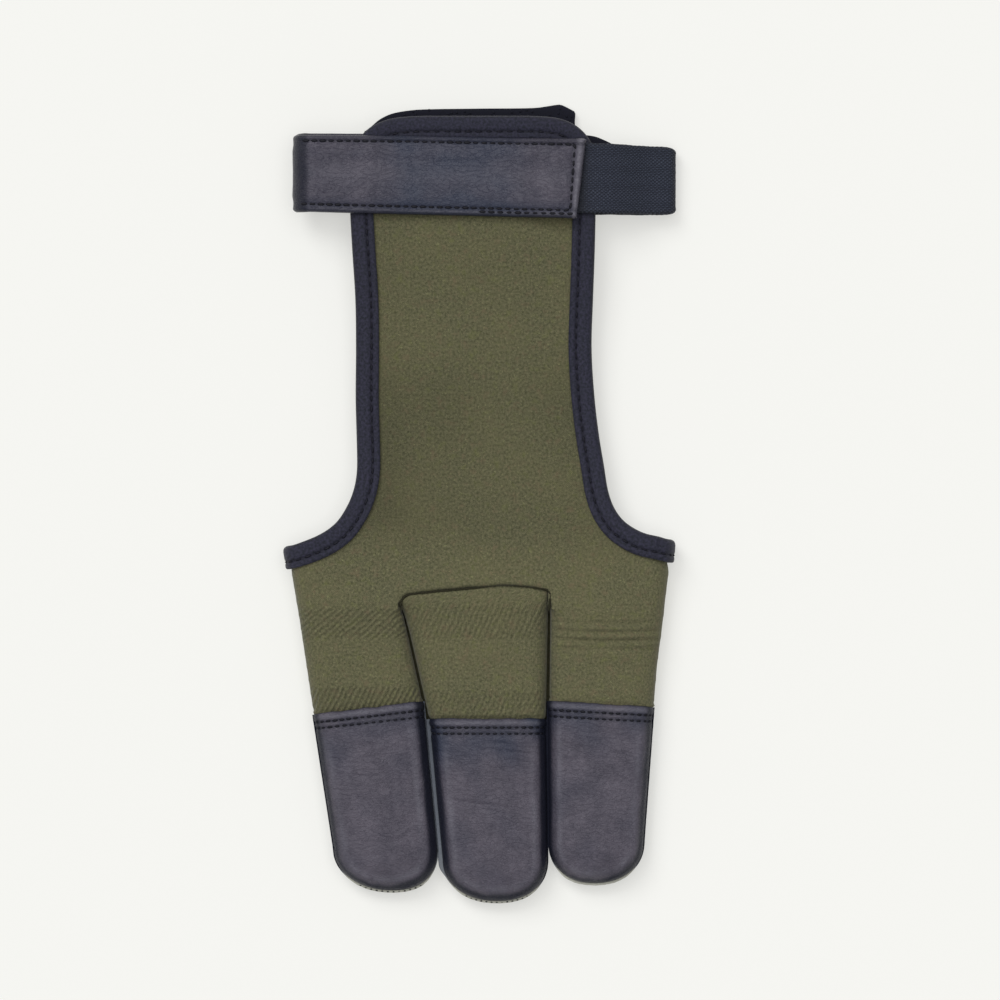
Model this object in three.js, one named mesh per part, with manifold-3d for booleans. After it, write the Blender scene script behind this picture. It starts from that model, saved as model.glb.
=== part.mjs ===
// Archery glove for three fingers: a cloth hand panel, leather finger stalls and a wrist strap.
// It lies flat on its open side. X runs across the hand, Y towards the wrist and Z up, in millimetres.
// Before the last step, Y is measured from the bound mouth at the finger bases.

import * as THREE from "three";
import { mergeVertices } from "three/addons/utils/BufferGeometryUtils.js";
import Module from "manifold-3d";

const wasm = await Module();
wasm.setup();

// Walls and the clearance between pieces
const clothWall = 1.5;
const leatherWall = 1.3;
const strapWall = 1.8;
const elasticWall = 1.4;
const bindingWall = 1;
const patchWall = 1.1;
const tabWall = 1.1;
const fitGap = 0.3;

// Hand panel
const panelLength = 123.8;
const webDepth = 16;
const waistLeft = 34.7;
const waistRight = 30.9;
const handThickness = 11;
const handCrown = 0.6;
const panelSag = 2.6;
const mouthLift = 1.4;
const mouthScoop = 3;
const webArch = 4;
const bindingWidth = 7;

// Fingers: widths are across the leather at its edge, lengths start at the web between the fingers
const indexWidth = 32.1;
const middleWidth = 33.9;
const ringWidth = 30.8;
const indexSleeve = 31.4;
const middleSleeve = 34.6;
const ringSleeve = 30.3;
const indexStall = 52.9;
const middleStall = 52.8;
const ringStall = 51.9;
const indexSlant = 3.9;
const ringSlant = -1.8;
const sleeveTuck = 8;
const leatherProud = 0.7;
const foldHeight = 0.5;

// Wrist strap, elastic and closure
const strapWidth = 21.9;
const strapReach = 54.4;
const strapEnd = 29.8;
const strapCentre = 107.9;
const strapLean = -0.02;
const strapRearEnd = 12;
const strapRearShift = 0.9;
const elasticWidth = 20;
const elasticReach = 57.1;
const elasticStart = 19;
const elasticFold = 3;
const elasticShift = 0.4;
const wristRoom = 4.8;
const patchReach = 2.2;
const patchLength = 31;
const tabWidth = 22;
const tabLength = 47;
const tabEnd = 39.2;
const tabShift = 0.3;
const strapDip = 0.2;
const strapRamp = 5;
const strapBelly = 0.3;
const strapFlare = 0.25;

// Heights of the flat stack at the wrist, from the table up
const patchLow = tabWall + fitGap;
const strapRearLow = patchLow + patchWall + fitGap;
const wristLow = strapRearLow + strapWall;
const flangeReach = bindingWall + fitGap;
const wristTop = wristLow + wristRoom + flangeReach + clothWall;
const elasticLow = wristTop + flangeReach + fitGap;
const strapEndLow = elasticLow + elasticWall + fitGap;
const seamHeight = handThickness / 2;

// Fingers side by side: widths as shares of the finger's width, gaps to the middle finger in millimetres
const fingers = {
  middle: {
    side: 0, width: middleWidth, sleeve: middleSleeve, stall: middleStall, slant: 0,
    web: 1.25, tip: 0.9, lean: 0.02,
  },
  index: {
    side: -1, width: indexWidth, sleeve: indexSleeve, stall: indexStall, slant: indexSlant,
    web: 0.95, tip: 0.9, lean: 0.06,
  },
  ring: {
    side: 1, width: ringWidth, sleeve: ringSleeve, stall: ringStall, slant: ringSlant,
    web: 1.07, tip: 0.86, lean: -0.02,
  },
};
const middleLine = { web: -0.034, join: 0.072, tip: 0.136 };
const indexGap = { web: 0.4, join: 1.6, tip: 2.6 };
const ringGap = { web: 0.4, join: 0.7, tip: 1.5 };
const capShare = 0.23;
const capPower = 2.2;

const mix = (from, to, share) => from + (to - from) * share;
const clamp = (value) => Math.min(1, Math.max(0, value));

// Left and right side of a finger at one of its three stations: web, join (the leather's edge) and tip
function fingerSides(finger, station) {
  const middleHalf = (middleWidth * (station === "join" ? 1 : fingers.middle[station])) / 2;
  const centre = middleLine[station] * middleWidth;
  if (finger.side === 0) return [centre - middleHalf, centre + middleHalf];
  const width = finger.width * (station === "join" ? 1 : finger[station]);
  if (finger.side < 0) {
    const right = centre - middleHalf - indexGap[station];
    return [right - width, right];
  }
  const left = centre + middleHalf + ringGap[station];
  return [left, left + width];
}

// Outer section of a finger at a distance along it, shrunk by an inset on every side
function fingerSection(finger, along, inset) {
  const capStart = finger.sleeve + finger.stall * (1 - capShare);
  const onSleeve = along <= finger.sleeve;
  const share = onSleeve
    ? along / finger.sleeve
    : Math.min(1, (along - finger.sleeve) / (capStart - finger.sleeve));
  const from = fingerSides(finger, onSleeve ? "web" : "join");
  const to = fingerSides(finger, onSleeve ? "join" : "tip");
  const capLength = finger.stall * capShare - inset;
  const capAlong = clamp((along - capStart) / capLength);
  const narrowing = Math.max(0.02, (1 - capAlong ** capPower) ** (1 / capPower));
  const left = mix(from[0], to[0], share) + inset;
  const right = mix(from[1], to[1], share) - inset;
  const centre = (left + right) / 2 + finger.lean * finger.width * capAlong ** 2;
  const half = ((right - left) / 2) * narrowing;
  const rise = (seamHeight - inset) * narrowing;
  return {
    y: -webDepth - Math.min(along, capStart + capLength),
    left: centre - half,
    right: centre + half,
    bottom: seamHeight - rise,
    top: seamHeight + rise,
    crown: handCrown * narrowing,
    slant: (finger.slant / finger.width) * (onSleeve ? share : 1 - share),
  };
}

// Closed ring of points round a flattened tube: round sides, a flat bottom and a slightly crowned top
function ringOf(section, topSpans, bottomSpans) {
  const half = (section.right - section.left) / 2;
  const centre = (section.right + section.left) / 2;
  const sideTop = section.top - section.crown;
  const rise = (sideTop - section.bottom) / 2;
  const middle = (sideTop + section.bottom) / 2;
  const side = Math.min(rise, half * 0.9);
  const flat = half - side;
  const sideSteps = 6;
  const points = [];
  const put = (x, z) => {
    const y = section.y + section.slant * (x - centre);
    points.push([x, y, z]);
  };
  for (let step = sideSteps / 2; step >= 0; step -= 1) {
    const angle = Math.PI / 2 + (step * Math.PI) / sideSteps;
    put(centre - flat + side * Math.cos(angle), middle + rise * Math.sin(angle));
  }
  for (let step = 1; step < topSpans; step += 1) {
    const across = (2 * step) / topSpans - 1;
    put(centre + flat * across, sideTop + section.crown * (1 - across ** 2));
  }
  for (let step = 0; step <= sideSteps; step += 1) {
    const angle = Math.PI / 2 - (step * Math.PI) / sideSteps;
    put(centre + flat + side * Math.cos(angle), middle + rise * Math.sin(angle));
  }
  for (let step = 1; step < bottomSpans; step += 1) {
    put(centre + flat * (1 - (2 * step) / bottomSpans), section.bottom);
  }
  for (let step = 0; step < sideSteps / 2; step += 1) {
    const angle = -Math.PI / 2 - (step * Math.PI) / sideSteps;
    put(centre - flat + side * Math.cos(angle), middle + rise * Math.sin(angle));
  }
  return points;
}

// Solid from points and triangles, turned outwards if needed
function solidFrom(points, faces) {
  let volume = 0;
  faces.forEach(([a, b, c]) => {
    const [p, q, r] = [points[a], points[b], points[c]];
    volume += p[0] * (q[1] * r[2] - q[2] * r[1]);
    volume += p[1] * (q[2] * r[0] - q[0] * r[2]);
    volume += p[2] * (q[0] * r[1] - q[1] * r[0]);
  });
  const outward = volume > 0 ? faces : faces.map(([a, b, c]) => [a, c, b]);
  const mesh = new wasm.Mesh({
    numProp: 3,
    vertProperties: new Float32Array(points.flat()),
    triVerts: new Uint32Array(outward.flat()),
  });
  return new wasm.Manifold(mesh);
}

// Loft through rings of equally many points, with closed ends, or joined into a loop
function loft(rings, joined = false) {
  const count = rings[0].length;
  const points = rings.flat();
  const faces = [];
  const spans = joined ? rings.length : rings.length - 1;
  for (let span = 0; span < spans; span += 1) {
    const here = span * count;
    const next = ((span + 1) % rings.length) * count;
    for (let step = 0; step < count; step += 1) {
      const after = (step + 1) % count;
      faces.push([here + step, here + after, next + after]);
      faces.push([here + step, next + after, next + step]);
    }
  }
  if (joined) return solidFrom(points, faces);
  [0, rings.length - 1].forEach((end) => {
    const first = end * count;
    const centre = [0, 1, 2].map((axis) => rings[end].reduce((sum, point) => sum + point[axis], 0) / count);
    points.push(centre);
    for (let step = 0; step < count; step += 1) {
      const face = [points.length - 1, first + ((step + 1) % count), first + step];
      faces.push(end === 0 ? face : [face[0], face[2], face[1]]);
    }
  });
  return solidFrom(points, faces);
}

// Upright prism over a flat outline
function prism(outline, low, high) {
  const shape = new THREE.Shape(outline.map(([x, y]) => new THREE.Vector2(x, y)));
  const geometry = new THREE.ExtrudeGeometry(shape, { depth: high - low, bevelEnabled: false, steps: 1 });
  geometry.translate(0, 0, low);
  geometry.deleteAttribute("normal");
  geometry.deleteAttribute("uv");
  const merged = mergeVertices(geometry);
  const place = merged.attributes.position;
  const points = [];
  for (let index = 0; index < place.count; index += 1) {
    points.push([place.getX(index), place.getY(index), place.getZ(index)]);
  }
  const faces = [];
  for (let index = 0; index < merged.index.count; index += 3) {
    faces.push([0, 1, 2].map((corner) => merged.index.getX(index + corner)));
  }
  return solidFrom(points, faces);
}

// Smooth curve through a few points
function smooth(points, steps) {
  const places = points.map(([x, y]) => new THREE.Vector3(x, y, 0));
  const curve = new THREE.CatmullRomCurve3(places, false, "centripetal");
  return curve.getSpacedPoints(steps).map((point) => [point.x, point.y]);
}

const pieces = {};

// Flattened form of the hand panel, before its outline is cut: shares of the panel's length and rise
const liftDepth = mouthScoop + bindingWidth + fitGap;
const panelRows = [
  { along: 1.05, toWrist: 1, sag: 0, open: 1 },
  { along: 0.74, toWrist: 1, sag: 0, open: 1 },
  { along: 0.68, toWrist: 0.95, sag: 0.2, open: 1 },
  { along: 0.6, toWrist: 0.78, sag: 0.6, open: 1 },
  { along: 0.5, toWrist: 0.5, sag: 0.95, open: 1 },
  { along: 0.38, toWrist: 0.22, sag: 1, open: 1 },
  { along: 0.27, toWrist: 0.06, sag: 0.75, open: 1 },
  { along: 0.18, toWrist: 0, sag: 0.45, open: 1 },
  { along: 0.1, toWrist: 0, sag: 0.18, open: 1 },
  { along: 0.03, toWrist: 0, sag: 0.03, open: 1 },
  { along: -liftDepth / panelLength, toWrist: 0, sag: 0, open: 1 },
];
const webSides = [fingerSides(fingers.index, "web")[0], fingerSides(fingers.ring, "web")[1]];
const mouthFlare = { left: 2.7, right: 2 };

function panelSection(row, inset) {
  const down = clamp(1 + (row.along * panelLength) / webDepth);
  return {
    y: row.along * panelLength,
    left: webSides[0] - mouthFlare.left * down + inset,
    right: webSides[1] + mouthFlare.right * down - inset,
    bottom: mouthLift * row.open + inset,
    top: mix(handThickness, wristTop, row.toWrist) - panelSag * row.sag - inset,
    crown: handCrown,
    slant: 0,
  };
}

// Section of the flattened form at any distance from the mouth, straight between its rows
function panelSectionAt(y, inset) {
  const share = y / panelLength;
  let upper = panelRows[0];
  let lower = panelRows[1];
  for (let index = 1; index < panelRows.length; index += 1) {
    upper = panelRows[index - 1];
    lower = panelRows[index];
    if (share >= lower.along) break;
  }
  const part = clamp((upper.along - share) / (upper.along - lower.along));
  const high = panelSection(upper, inset);
  const low = panelSection(lower, inset);
  const section = {};
  Object.keys(high).forEach((key) => {
    section[key] = mix(high[key], low[key], part);
  });
  return section;
}

// Cloth edge of the panel on the shown side: across as a share of the waist, up as a share of the length
const leftEdge = [
  { across: 1.05, up: 0.908 },
  { across: 1.05, up: 0.8 },
  { across: 1.03, up: 0.69 },
  { across: 1.005, up: 0.575 },
  { across: 1, up: 0.458 },
  { across: 1.003, up: 0.341 },
  { across: 0.994, up: 0.247 },
  { across: 0.991, up: 0.174 },
  { across: 1.009, up: 0.137 },
  { across: 1.052, up: 0.1 },
  { across: 1.098, up: 0.076 },
  { across: 1.155, up: 0.051 },
  { across: 1.255, up: 0.027 },
  { across: 1.385, up: 0.008 },
];
const rightEdge = [
  { across: 1.01, up: 0.908 },
  { across: 1.035, up: 0.8 },
  { across: 1.029, up: 0.692 },
  { across: 1.013, up: 0.575 },
  { across: 1, up: 0.458 },
  { across: 1.029, up: 0.341 },
  { across: 1.074, up: 0.247 },
  { across: 1.123, up: 0.174 },
  { across: 1.142, up: 0.139 },
  { across: 1.168, up: 0.112 },
  { across: 1.21, up: 0.084 },
  { across: 1.304, up: 0.051 },
  { across: 1.417, up: 0.031 },
  { across: 1.54, up: 0.017 },
];
const wristCorner = [
  { across: 1.026, up: 0.924 },
  { across: 0.99, up: 0.947 },
  { across: 0.89, up: 0.975 },
  { across: 0.74, up: 0.993 },
  { across: 0.5, up: 0.9995 },
];
const cornerHeight = { left: -0.01, right: 0.005 };

const foldSection = panelSectionAt(0, 0);
const foldSide = (foldSection.top - foldSection.crown - foldSection.bottom) / 2;
const foldStart = [foldSection.left + foldSide, foldSection.right - foldSide];
const foldEnd = [foldSection.left, foldSection.right];
const edgePoint = (row, waist, sign) => [sign * waist * row.across, row.up * panelLength];
const rightRun = smooth(
  [[foldStart[1], (cornerHeight.right + 0.008) * panelLength]]
    .concat(rightEdge.slice().reverse().map((row) => edgePoint(row, waistRight, 1)))
    .concat(wristCorner.map((row) => edgePoint(row, waistRight, 1))),
  30,
);
const leftRun = smooth(
  wristCorner.slice().reverse().map((row) => edgePoint(row, waistLeft, -1))
    .concat(leftEdge.map((row) => edgePoint(row, waistLeft, -1)))
    .concat([[foldStart[0], (cornerHeight.left + 0.008) * panelLength]]),
  30,
);

// Height of the mouth's edge over the folds and across the hidden side
const leftCorner = cornerHeight.left * panelLength;
const rightCorner = cornerHeight.right * panelLength;
function hiddenEdge(x) {
  const share = (x - foldEnd[0]) / (foldEnd[1] - foldEnd[0]);
  return mix(leftCorner, rightCorner, share) - mouthScoop * Math.sin(Math.PI * clamp(share)) ** 2;
}
function foldEdge(x, sideIndex, runEnd) {
  const share = clamp((x - foldStart[sideIndex]) / (foldEnd[sideIndex] - foldStart[sideIndex]));
  const corner = hiddenEdge(foldEnd[sideIndex]);
  return mix(runEnd[1], corner, Math.sin((share * Math.PI) / 2));
}

const foldSteps = 6;
const foldXs = (sideIndex) => {
  const reach = foldEnd[sideIndex] - foldStart[sideIndex];
  return Array.from({ length: foldSteps }, (unused, step) => {
    const angle = ((step + 1) * Math.PI) / 2 / foldSteps;
    return foldStart[sideIndex] + reach * Math.sin(angle);
  });
};
const leftEnd = leftRun[leftRun.length - 1];
const rightEnd = rightRun[0];
const topOutline = rightRun
  .concat(leftRun)
  .concat(foldXs(0).map((x) => [x, foldEdge(x, 0, leftEnd)]))
  .concat([[-2 * strapReach, leftCorner], [-2 * strapReach, -panelLength]])
  .concat([[2 * strapReach, -panelLength], [2 * strapReach, rightCorner]])
  .concat(foldXs(1).reverse().map((x) => [x, foldEdge(x, 1, rightEnd)]));
const hiddenSteps = 16;
const hiddenOutline = Array.from({ length: hiddenSteps + 1 }, (unused, step) => {
  const x = mix(foldEnd[0], foldEnd[1], step / hiddenSteps);
  return [x, hiddenEdge(x)];
});
const bottomOutline = [[-2 * strapReach, -panelLength], [2 * strapReach, -panelLength]]
  .concat([[2 * strapReach, rightCorner]])
  .concat(hiddenOutline.reverse())
  .concat([[-2 * strapReach, leftCorner]]);

// Curved seam where the middle sleeve is let into the panel: across and up as shares
const archRows = [
  { across: 0, up: -1 },
  { across: 0, up: 0 },
  { across: 0.04, up: 0.35 },
  { across: 0.22, up: 0.6 },
  { across: 0.42, up: 0.8 },
  { across: 0.7, up: 1 },
  { across: 0.87, up: 0.9 },
  { across: 1, up: 0.6 },
  { across: 1, up: -1 },
];
const archSides = fingerSides(fingers.middle, "web");
const archOutline = (lower) => archRows.map((row) => {
  const x = mix(archSides[0] - indexGap.web / 2, archSides[1] + ringGap.web / 2, row.across);
  return [x, -webDepth + webArch * row.up - lower];
});

// Rows of a sleeve: along as a share of the sleeve, wave as a share of the fold height
const plainRows = [0, 0.14, 0.3, 0.5, 0.7, 0.9];
const waveRows = [
  { along: 0, wave: 0 },
  { along: 0.12, wave: 0.6 },
  { along: 0.21, wave: -0.5 },
  { along: 0.3, wave: 1 },
  { along: 0.4, wave: -0.6 },
  { along: 0.5, wave: 0.9 },
  { along: 0.6, wave: -0.3 },
  { along: 0.9, wave: 0 },
];
const sleeveTopSpans = 6;
const sleeveBottomSpans = 3;

function sleeveRings(finger, startAlong, inner, rows) {
  const tucked = leatherWall + fitGap;
  const place = (along, outset, wave) => {
    const section = fingerSection(finger, along, outset + (inner ? clothWall : 0));
    section.crown += wave * foldHeight;
    section.top += wave * foldHeight;
    return ringOf(section, sleeveTopSpans, sleeveBottomSpans);
  };
  const rings = [place(startAlong, finger.side === 0 ? 0 : leatherProud / 4, 0)];
  rows.forEach((row) => rings.push(place(row.along * finger.sleeve, leatherProud * row.along, row.wave)));
  const edge = finger.sleeve - fitGap;
  rings.push(place(edge - leatherProud, leatherProud, 0));
  rings.push(place(edge, tucked, 0));
  rings.push(place(finger.sleeve + sleeveTuck + (inner ? leatherWall : 0), tucked, 0));
  return rings;
}
const flatRows = plainRows.map((along) => ({ along, wave: 0 }));

const overlap = 3;
const panelTopSpans = 10;
const panelBottomSpans = 6;
function panelForm(inset) {
  const rings = panelRows.map((row) => ringOf(panelSection(row, inset), panelTopSpans, panelBottomSpans));
  const web = { along: -webDepth / panelLength, toWrist: 0, sag: 0, open: 0 };
  const last = panelSection(web, inset);
  if (inset > 0) last.y -= overlap / 2;
  rings.push(ringOf(last, panelTopSpans, panelBottomSpans));
  return loft(rings);
}

const far = 3 * handThickness;
const kept = prism(topOutline, seamHeight, far).add(prism(bottomOutline, -far, seamHeight));
const band = panelForm(0)
  .add(loft(sleeveRings(fingers.index, -overlap, false, flatRows)))
  .add(loft(sleeveRings(fingers.ring, -overlap, false, waveRows)));
const hollow = panelForm(clothWall)
  .add(loft(sleeveRings(fingers.index, -overlap, true, flatRows)))
  .add(loft(sleeveRings(fingers.ring, -overlap, true, waveRows)));
pieces.hand_panel = band
  .subtract(hollow)
  .subtract(prism(archOutline(0), -far, far))
  .intersect(kept);

const archStart = -2 * webArch;
pieces.middle_sleeve = loft(sleeveRings(fingers.middle, archStart, false, flatRows))
  .subtract(loft(sleeveRings(fingers.middle, archStart - overlap, true, flatRows)))
  .intersect(prism(archOutline(fitGap).concat([[far, -webDepth - webArch - fitGap], [far, -panelLength]])
    .concat([[-far, -panelLength], [-far, -webDepth - webArch - fitGap]]), -far, far));

// Finger stalls: a front and a back shell of leather that meet at a seam round the edge
const stallShares = [0, 0.12, 0.35, 0.6, 1 - capShare];
const capShares = [0.3, 0.55, 0.75, 0.9, 1];
const stallTopSpans = 6;
const stallBottomSpans = 4;
function stallForm(finger, inset) {
  const capStart = finger.sleeve + finger.stall * (1 - capShare);
  const capLength = finger.stall * capShare - inset;
  const alongs = stallShares.map((share) => finger.sleeve + finger.stall * share)
    .concat(capShares.map((share) => capStart + capLength * share));
  if (inset > 0) alongs[0] -= overlap;
  const rings = alongs.map((along) => {
    const section = fingerSection(finger, Math.max(along, finger.sleeve + 1e-6), inset);
    section.y = -webDepth - along;
    return ringOf(section, stallTopSpans, stallBottomSpans);
  });
  return loft(rings);
}
const wide = 4 * strapReach;
const boxOutline = [[-wide, -wide], [wide, -wide], [wide, wide], [-wide, wide]];
Object.entries(fingers).forEach(([name, finger]) => {
  const shell = stallForm(finger, 0).subtract(stallForm(finger, leatherWall));
  pieces[`${name}_stall_front`] = shell.intersect(prism(boxOutline, seamHeight + fitGap / 2, far));
  pieces[`${name}_stall_back`] = shell.intersect(prism(boxOutline, -far, seamHeight - fitGap / 2));
});

// Edge binding: a folded tape that runs round the whole cloth edge, over both folds and across the mouth
function panelTopPoint(x, y) {
  const section = panelSectionAt(y, clothWall / 2);
  const centre = (section.left + section.right) / 2;
  const sideTop = section.top - section.crown;
  const rise = (sideTop - section.bottom) / 2;
  const flat = (section.right - section.left) / 2 - rise;
  const across = Math.min(1, Math.abs(x - centre) / flat);
  return [x, y, sideTop + section.crown * (1 - across ** 2)];
}
function panelFoldPoint(angle, sideIndex, y) {
  const section = panelSectionAt(y, clothWall / 2);
  const sideTop = section.top - section.crown;
  const rise = (sideTop - section.bottom) / 2;
  const flatEnd = sideIndex === 0 ? section.left + rise : section.right - rise;
  const sign = sideIndex === 0 ? -1 : 1;
  const x = flatEnd + sign * rise * Math.cos(angle);
  return [x, y, (sideTop + section.bottom) / 2 + rise * Math.sin(angle)];
}
const foldAngles = [60, 30, 0, -30, -60, -90].map((degrees) => (degrees * Math.PI) / 180);
const inEdge = bindingWidth - flangeReach;
const station = (surface, y, up) => ({ point: surface(y), below: surface(y - inEdge), up });
function foldStations(sideIndex, runEnd) {
  return foldAngles.map((angle) => {
    const reach = foldEnd[sideIndex] - foldStart[sideIndex];
    const x = foldStart[sideIndex] + reach * Math.cos(angle);
    const y = angle > 0 ? foldEdge(x, sideIndex, runEnd) : hiddenEdge(x);
    const sign = sideIndex === 0 ? -1 : 1;
    const up = [sign * Math.cos(angle), 0, Math.sin(angle)];
    return station((level) => panelFoldPoint(angle, sideIndex, level), y, up);
  });
}
const topStation = ([x, y]) => station((level) => panelTopPoint(x, level), y, [0, 0, 1]);
const hiddenHeight = (y) => panelSectionAt(y, clothWall / 2).bottom;
const hiddenStations = hiddenOutline
  .filter(([x]) => x > foldStart[0] + 1 && x < foldStart[1] - 1)
  .sort((first, second) => first[0] - second[0])
  .map(([x, y]) => station((level) => [x, level, hiddenHeight(level)], y, [0, 0, -1]));
const stations = rightRun.map(topStation)
  .concat(leftRun.map(topStation))
  .concat(foldStations(0, leftEnd))
  .concat(hiddenStations)
  .concat(foldStations(1, rightEnd).reverse());

const foldRound = 0.6;
const insideHalf = clothWall / 2 + fitGap;
const outsideHalf = insideHalf + bindingWall;
const tapeSection = [
  [inEdge, outsideHalf],
  [0, outsideHalf],
  [-flangeReach, outsideHalf * foldRound],
  [-flangeReach, -outsideHalf * foldRound],
  [0, -outsideHalf],
  [inEdge, -outsideHalf],
  [inEdge, -insideHalf],
  [-fitGap, -insideHalf],
  [-fitGap, insideHalf],
  [inEdge, insideHalf],
];
const bindingRings = stations.map(({ point, below, up: rough }, index) => {
  const before = new THREE.Vector3(...stations[(index + stations.length - 1) % stations.length].point);
  const after = new THREE.Vector3(...stations[(index + 1) % stations.length].point);
  const along = after.sub(before).normalize();
  const fall = new THREE.Vector3(...point).sub(new THREE.Vector3(...below)).normalize();
  const up = new THREE.Vector3(...rough);
  up.addScaledVector(fall, -up.dot(fall));
  up.addScaledVector(along, -up.dot(along)).normalize();
  const inward = new THREE.Vector3().crossVectors(up, along).normalize();
  return tapeSection.map(([depth, height]) => [
    point[0] + inward.x * depth + up.x * height,
    point[1] + inward.y * depth + up.y * height,
    point[2] + inward.z * depth + up.z * height,
  ]);
});
pieces.edge_binding = loft(bindingRings, true);

// Flat ribbon along a path in the XZ plane, with its two long edges given by functions of x
function ribbon(path, wall, topEdge, lowEdge) {
  const rings = path.map((point, index) => {
    const before = path[Math.max(0, index - 1)];
    const after = path[Math.min(path.length - 1, index + 1)];
    const length = Math.hypot(after.x - before.x, after.z - before.z);
    const sideX = (-(after.z - before.z) / length) * (wall / 2);
    const sideZ = ((after.x - before.x) / length) * (wall / 2);
    const top = topEdge(point);
    const low = lowEdge(point);
    return [
      [point.x + sideX, top, point.z + sideZ],
      [point.x + sideX, low, point.z + sideZ],
      [point.x - sideX, low, point.z - sideZ],
      [point.x - sideX, top, point.z - sideZ],
    ];
  });
  return loft(rings);
}
function foldPath(centreX, centreZ, radius, sign) {
  const steps = 8;
  return Array.from({ length: steps + 1 }, (unused, step) => {
    const angle = Math.PI / 2 - (step * Math.PI) / steps;
    return { x: centreX + sign * radius * Math.cos(angle), z: centreZ + radius * Math.sin(angle) };
  });
}

// Wrist strap: over the front, round the left fold and back under the hand
const strapRearZ = strapRearLow + strapWall / 2;
const strapFrontZ = elasticLow + strapWall / 2;
const strapEndZ = strapEndLow + strapWall / 2;
const strapFoldRadius = (strapFrontZ - strapRearZ) / 2;
const strapFoldX = -strapReach + strapWall / 2 + strapFoldRadius;
const strapPath = [
  { x: strapEnd, z: strapEndZ },
  { x: elasticStart, z: strapEndZ },
  { x: elasticStart - strapRamp, z: strapFrontZ - strapDip / 2 },
  { x: 0, z: strapFrontZ - strapDip },
  { x: -waistLeft * 0.6, z: strapFrontZ - strapDip / 2 },
  { x: -waistLeft * 0.85, z: strapFrontZ },
]
  .concat(foldPath(strapFoldX, strapRearZ + strapFoldRadius, strapFoldRadius, -1))
  .concat([{ x: -waistLeft / 2, z: strapRearZ }, { x: strapRearEnd, z: strapRearZ }]);
const strapMiddle = strapRearZ + strapFoldRadius;
const strapAxis = (point) => {
  const rear = clamp((strapMiddle - point.z) / strapFoldRadius);
  return strapCentre + strapLean * (point.x + strapReach) + rear * strapRearShift;
};
const strapSpread = (point) => {
  const belly = point.z > strapMiddle ? strapBelly : 0;
  return strapWidth / 2 + belly * (1 - (point.x / strapReach) ** 2);
};
pieces.wrist_strap = ribbon(
  strapPath,
  strapWall,
  (point) => strapAxis(point) + strapWidth / 2,
  (point) => strapAxis(point) - strapSpread(point) - strapFlare * clamp(point.x / strapEnd),
);

// Elastic: from under the strap's end, over the panel's edge, round the right fold and back
const elasticFrontZ = elasticLow + elasticWall / 2;
const elasticRearZ = patchLow + elasticWall / 2;
const elasticLowZ = elasticWall / 2;
const patchRight = waistRight * 0.9;
const elasticRearEnd = patchRight + fitGap;
const elasticFoldX = elasticReach - elasticWall / 2 - elasticFold;
const panelSideReach = waistRight * 1.035 + flangeReach;
const elasticSlope = { across: 0.5, down: 0.45 };
const elasticPath = [
  { x: elasticStart, z: elasticFrontZ },
  { x: panelSideReach + fitGap, z: elasticFrontZ },
  {
    x: mix(panelSideReach, elasticFoldX, elasticSlope.across),
    z: mix(elasticFrontZ, elasticLowZ + 2 * elasticFold, elasticSlope.down),
  },
]
  .concat(foldPath(elasticFoldX, elasticLowZ + elasticFold, elasticFold, 1))
  .concat([
    { x: tabEnd + strapRamp, z: elasticLowZ + fitGap },
    { x: tabEnd + fitGap, z: elasticRearZ },
    { x: elasticRearEnd, z: elasticRearZ },
  ]);
const elasticAxis = (point) => strapCentre + elasticShift + strapLean * (point.x + strapReach);
pieces.elastic_band = ribbon(
  elasticPath,
  elasticWall,
  (point) => elasticAxis(point) + elasticWidth / 2,
  (point) => elasticAxis(point) - elasticWidth / 2,
);

// Loop patch: across as a share of the waist on that side, up as a share of the patch's reach and length
const patchRows = [
  { across: -0.96, up: -0.255 },
  { across: -0.9, up: -0.203 },
  { across: -0.835, up: -0.142 },
  { across: -0.75, up: -0.094 },
  { across: -0.67, up: -0.071 },
  { across: -0.545, up: -0.052 },
  { across: -0.4, up: -0.045 },
  { across: 0, up: -0.039 },
  { across: 0.53, up: -0.032 },
  { across: 0.66, up: -0.016 },
  { across: 0.755, up: -0.006 },
  { across: 0.9, up: -0.074 },
  { across: 0.9, up: -1 },
  { across: -1, up: -1 },
  { across: -1, up: -0.36 },
];
const patchTop = panelLength + flangeReach + patchReach;
pieces.loop_patch = prism(
  patchRows.map((row) => {
    const waist = row.across > 0 ? waistRight : waistLeft;
    return [row.across * waist, patchTop + row.up * patchLength];
  }),
  patchLow,
  patchLow + patchWall,
);

// Hook tab: along from its outer end as a share of its length, down as a share of its width
const tabRows = [
  { along: 0, down: 0.2 },
  { along: 0.09, down: 0.04 },
  { along: 0.19, down: 0 },
  { along: 0.94, down: 0 },
  { along: 1, down: 0.14 },
  { along: 1, down: 0.86 },
  { along: 0.94, down: 1 },
  { along: 0.04, down: 1 },
  { along: 0, down: 0.9 },
];
const tabTop = strapCentre + tabWidth / 2 + tabShift;
pieces.hook_tab = prism(
  tabRows.map((row) => [tabEnd - row.along * tabLength, tabTop - row.down * tabWidth]),
  0,
  tabWall,
);

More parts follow.
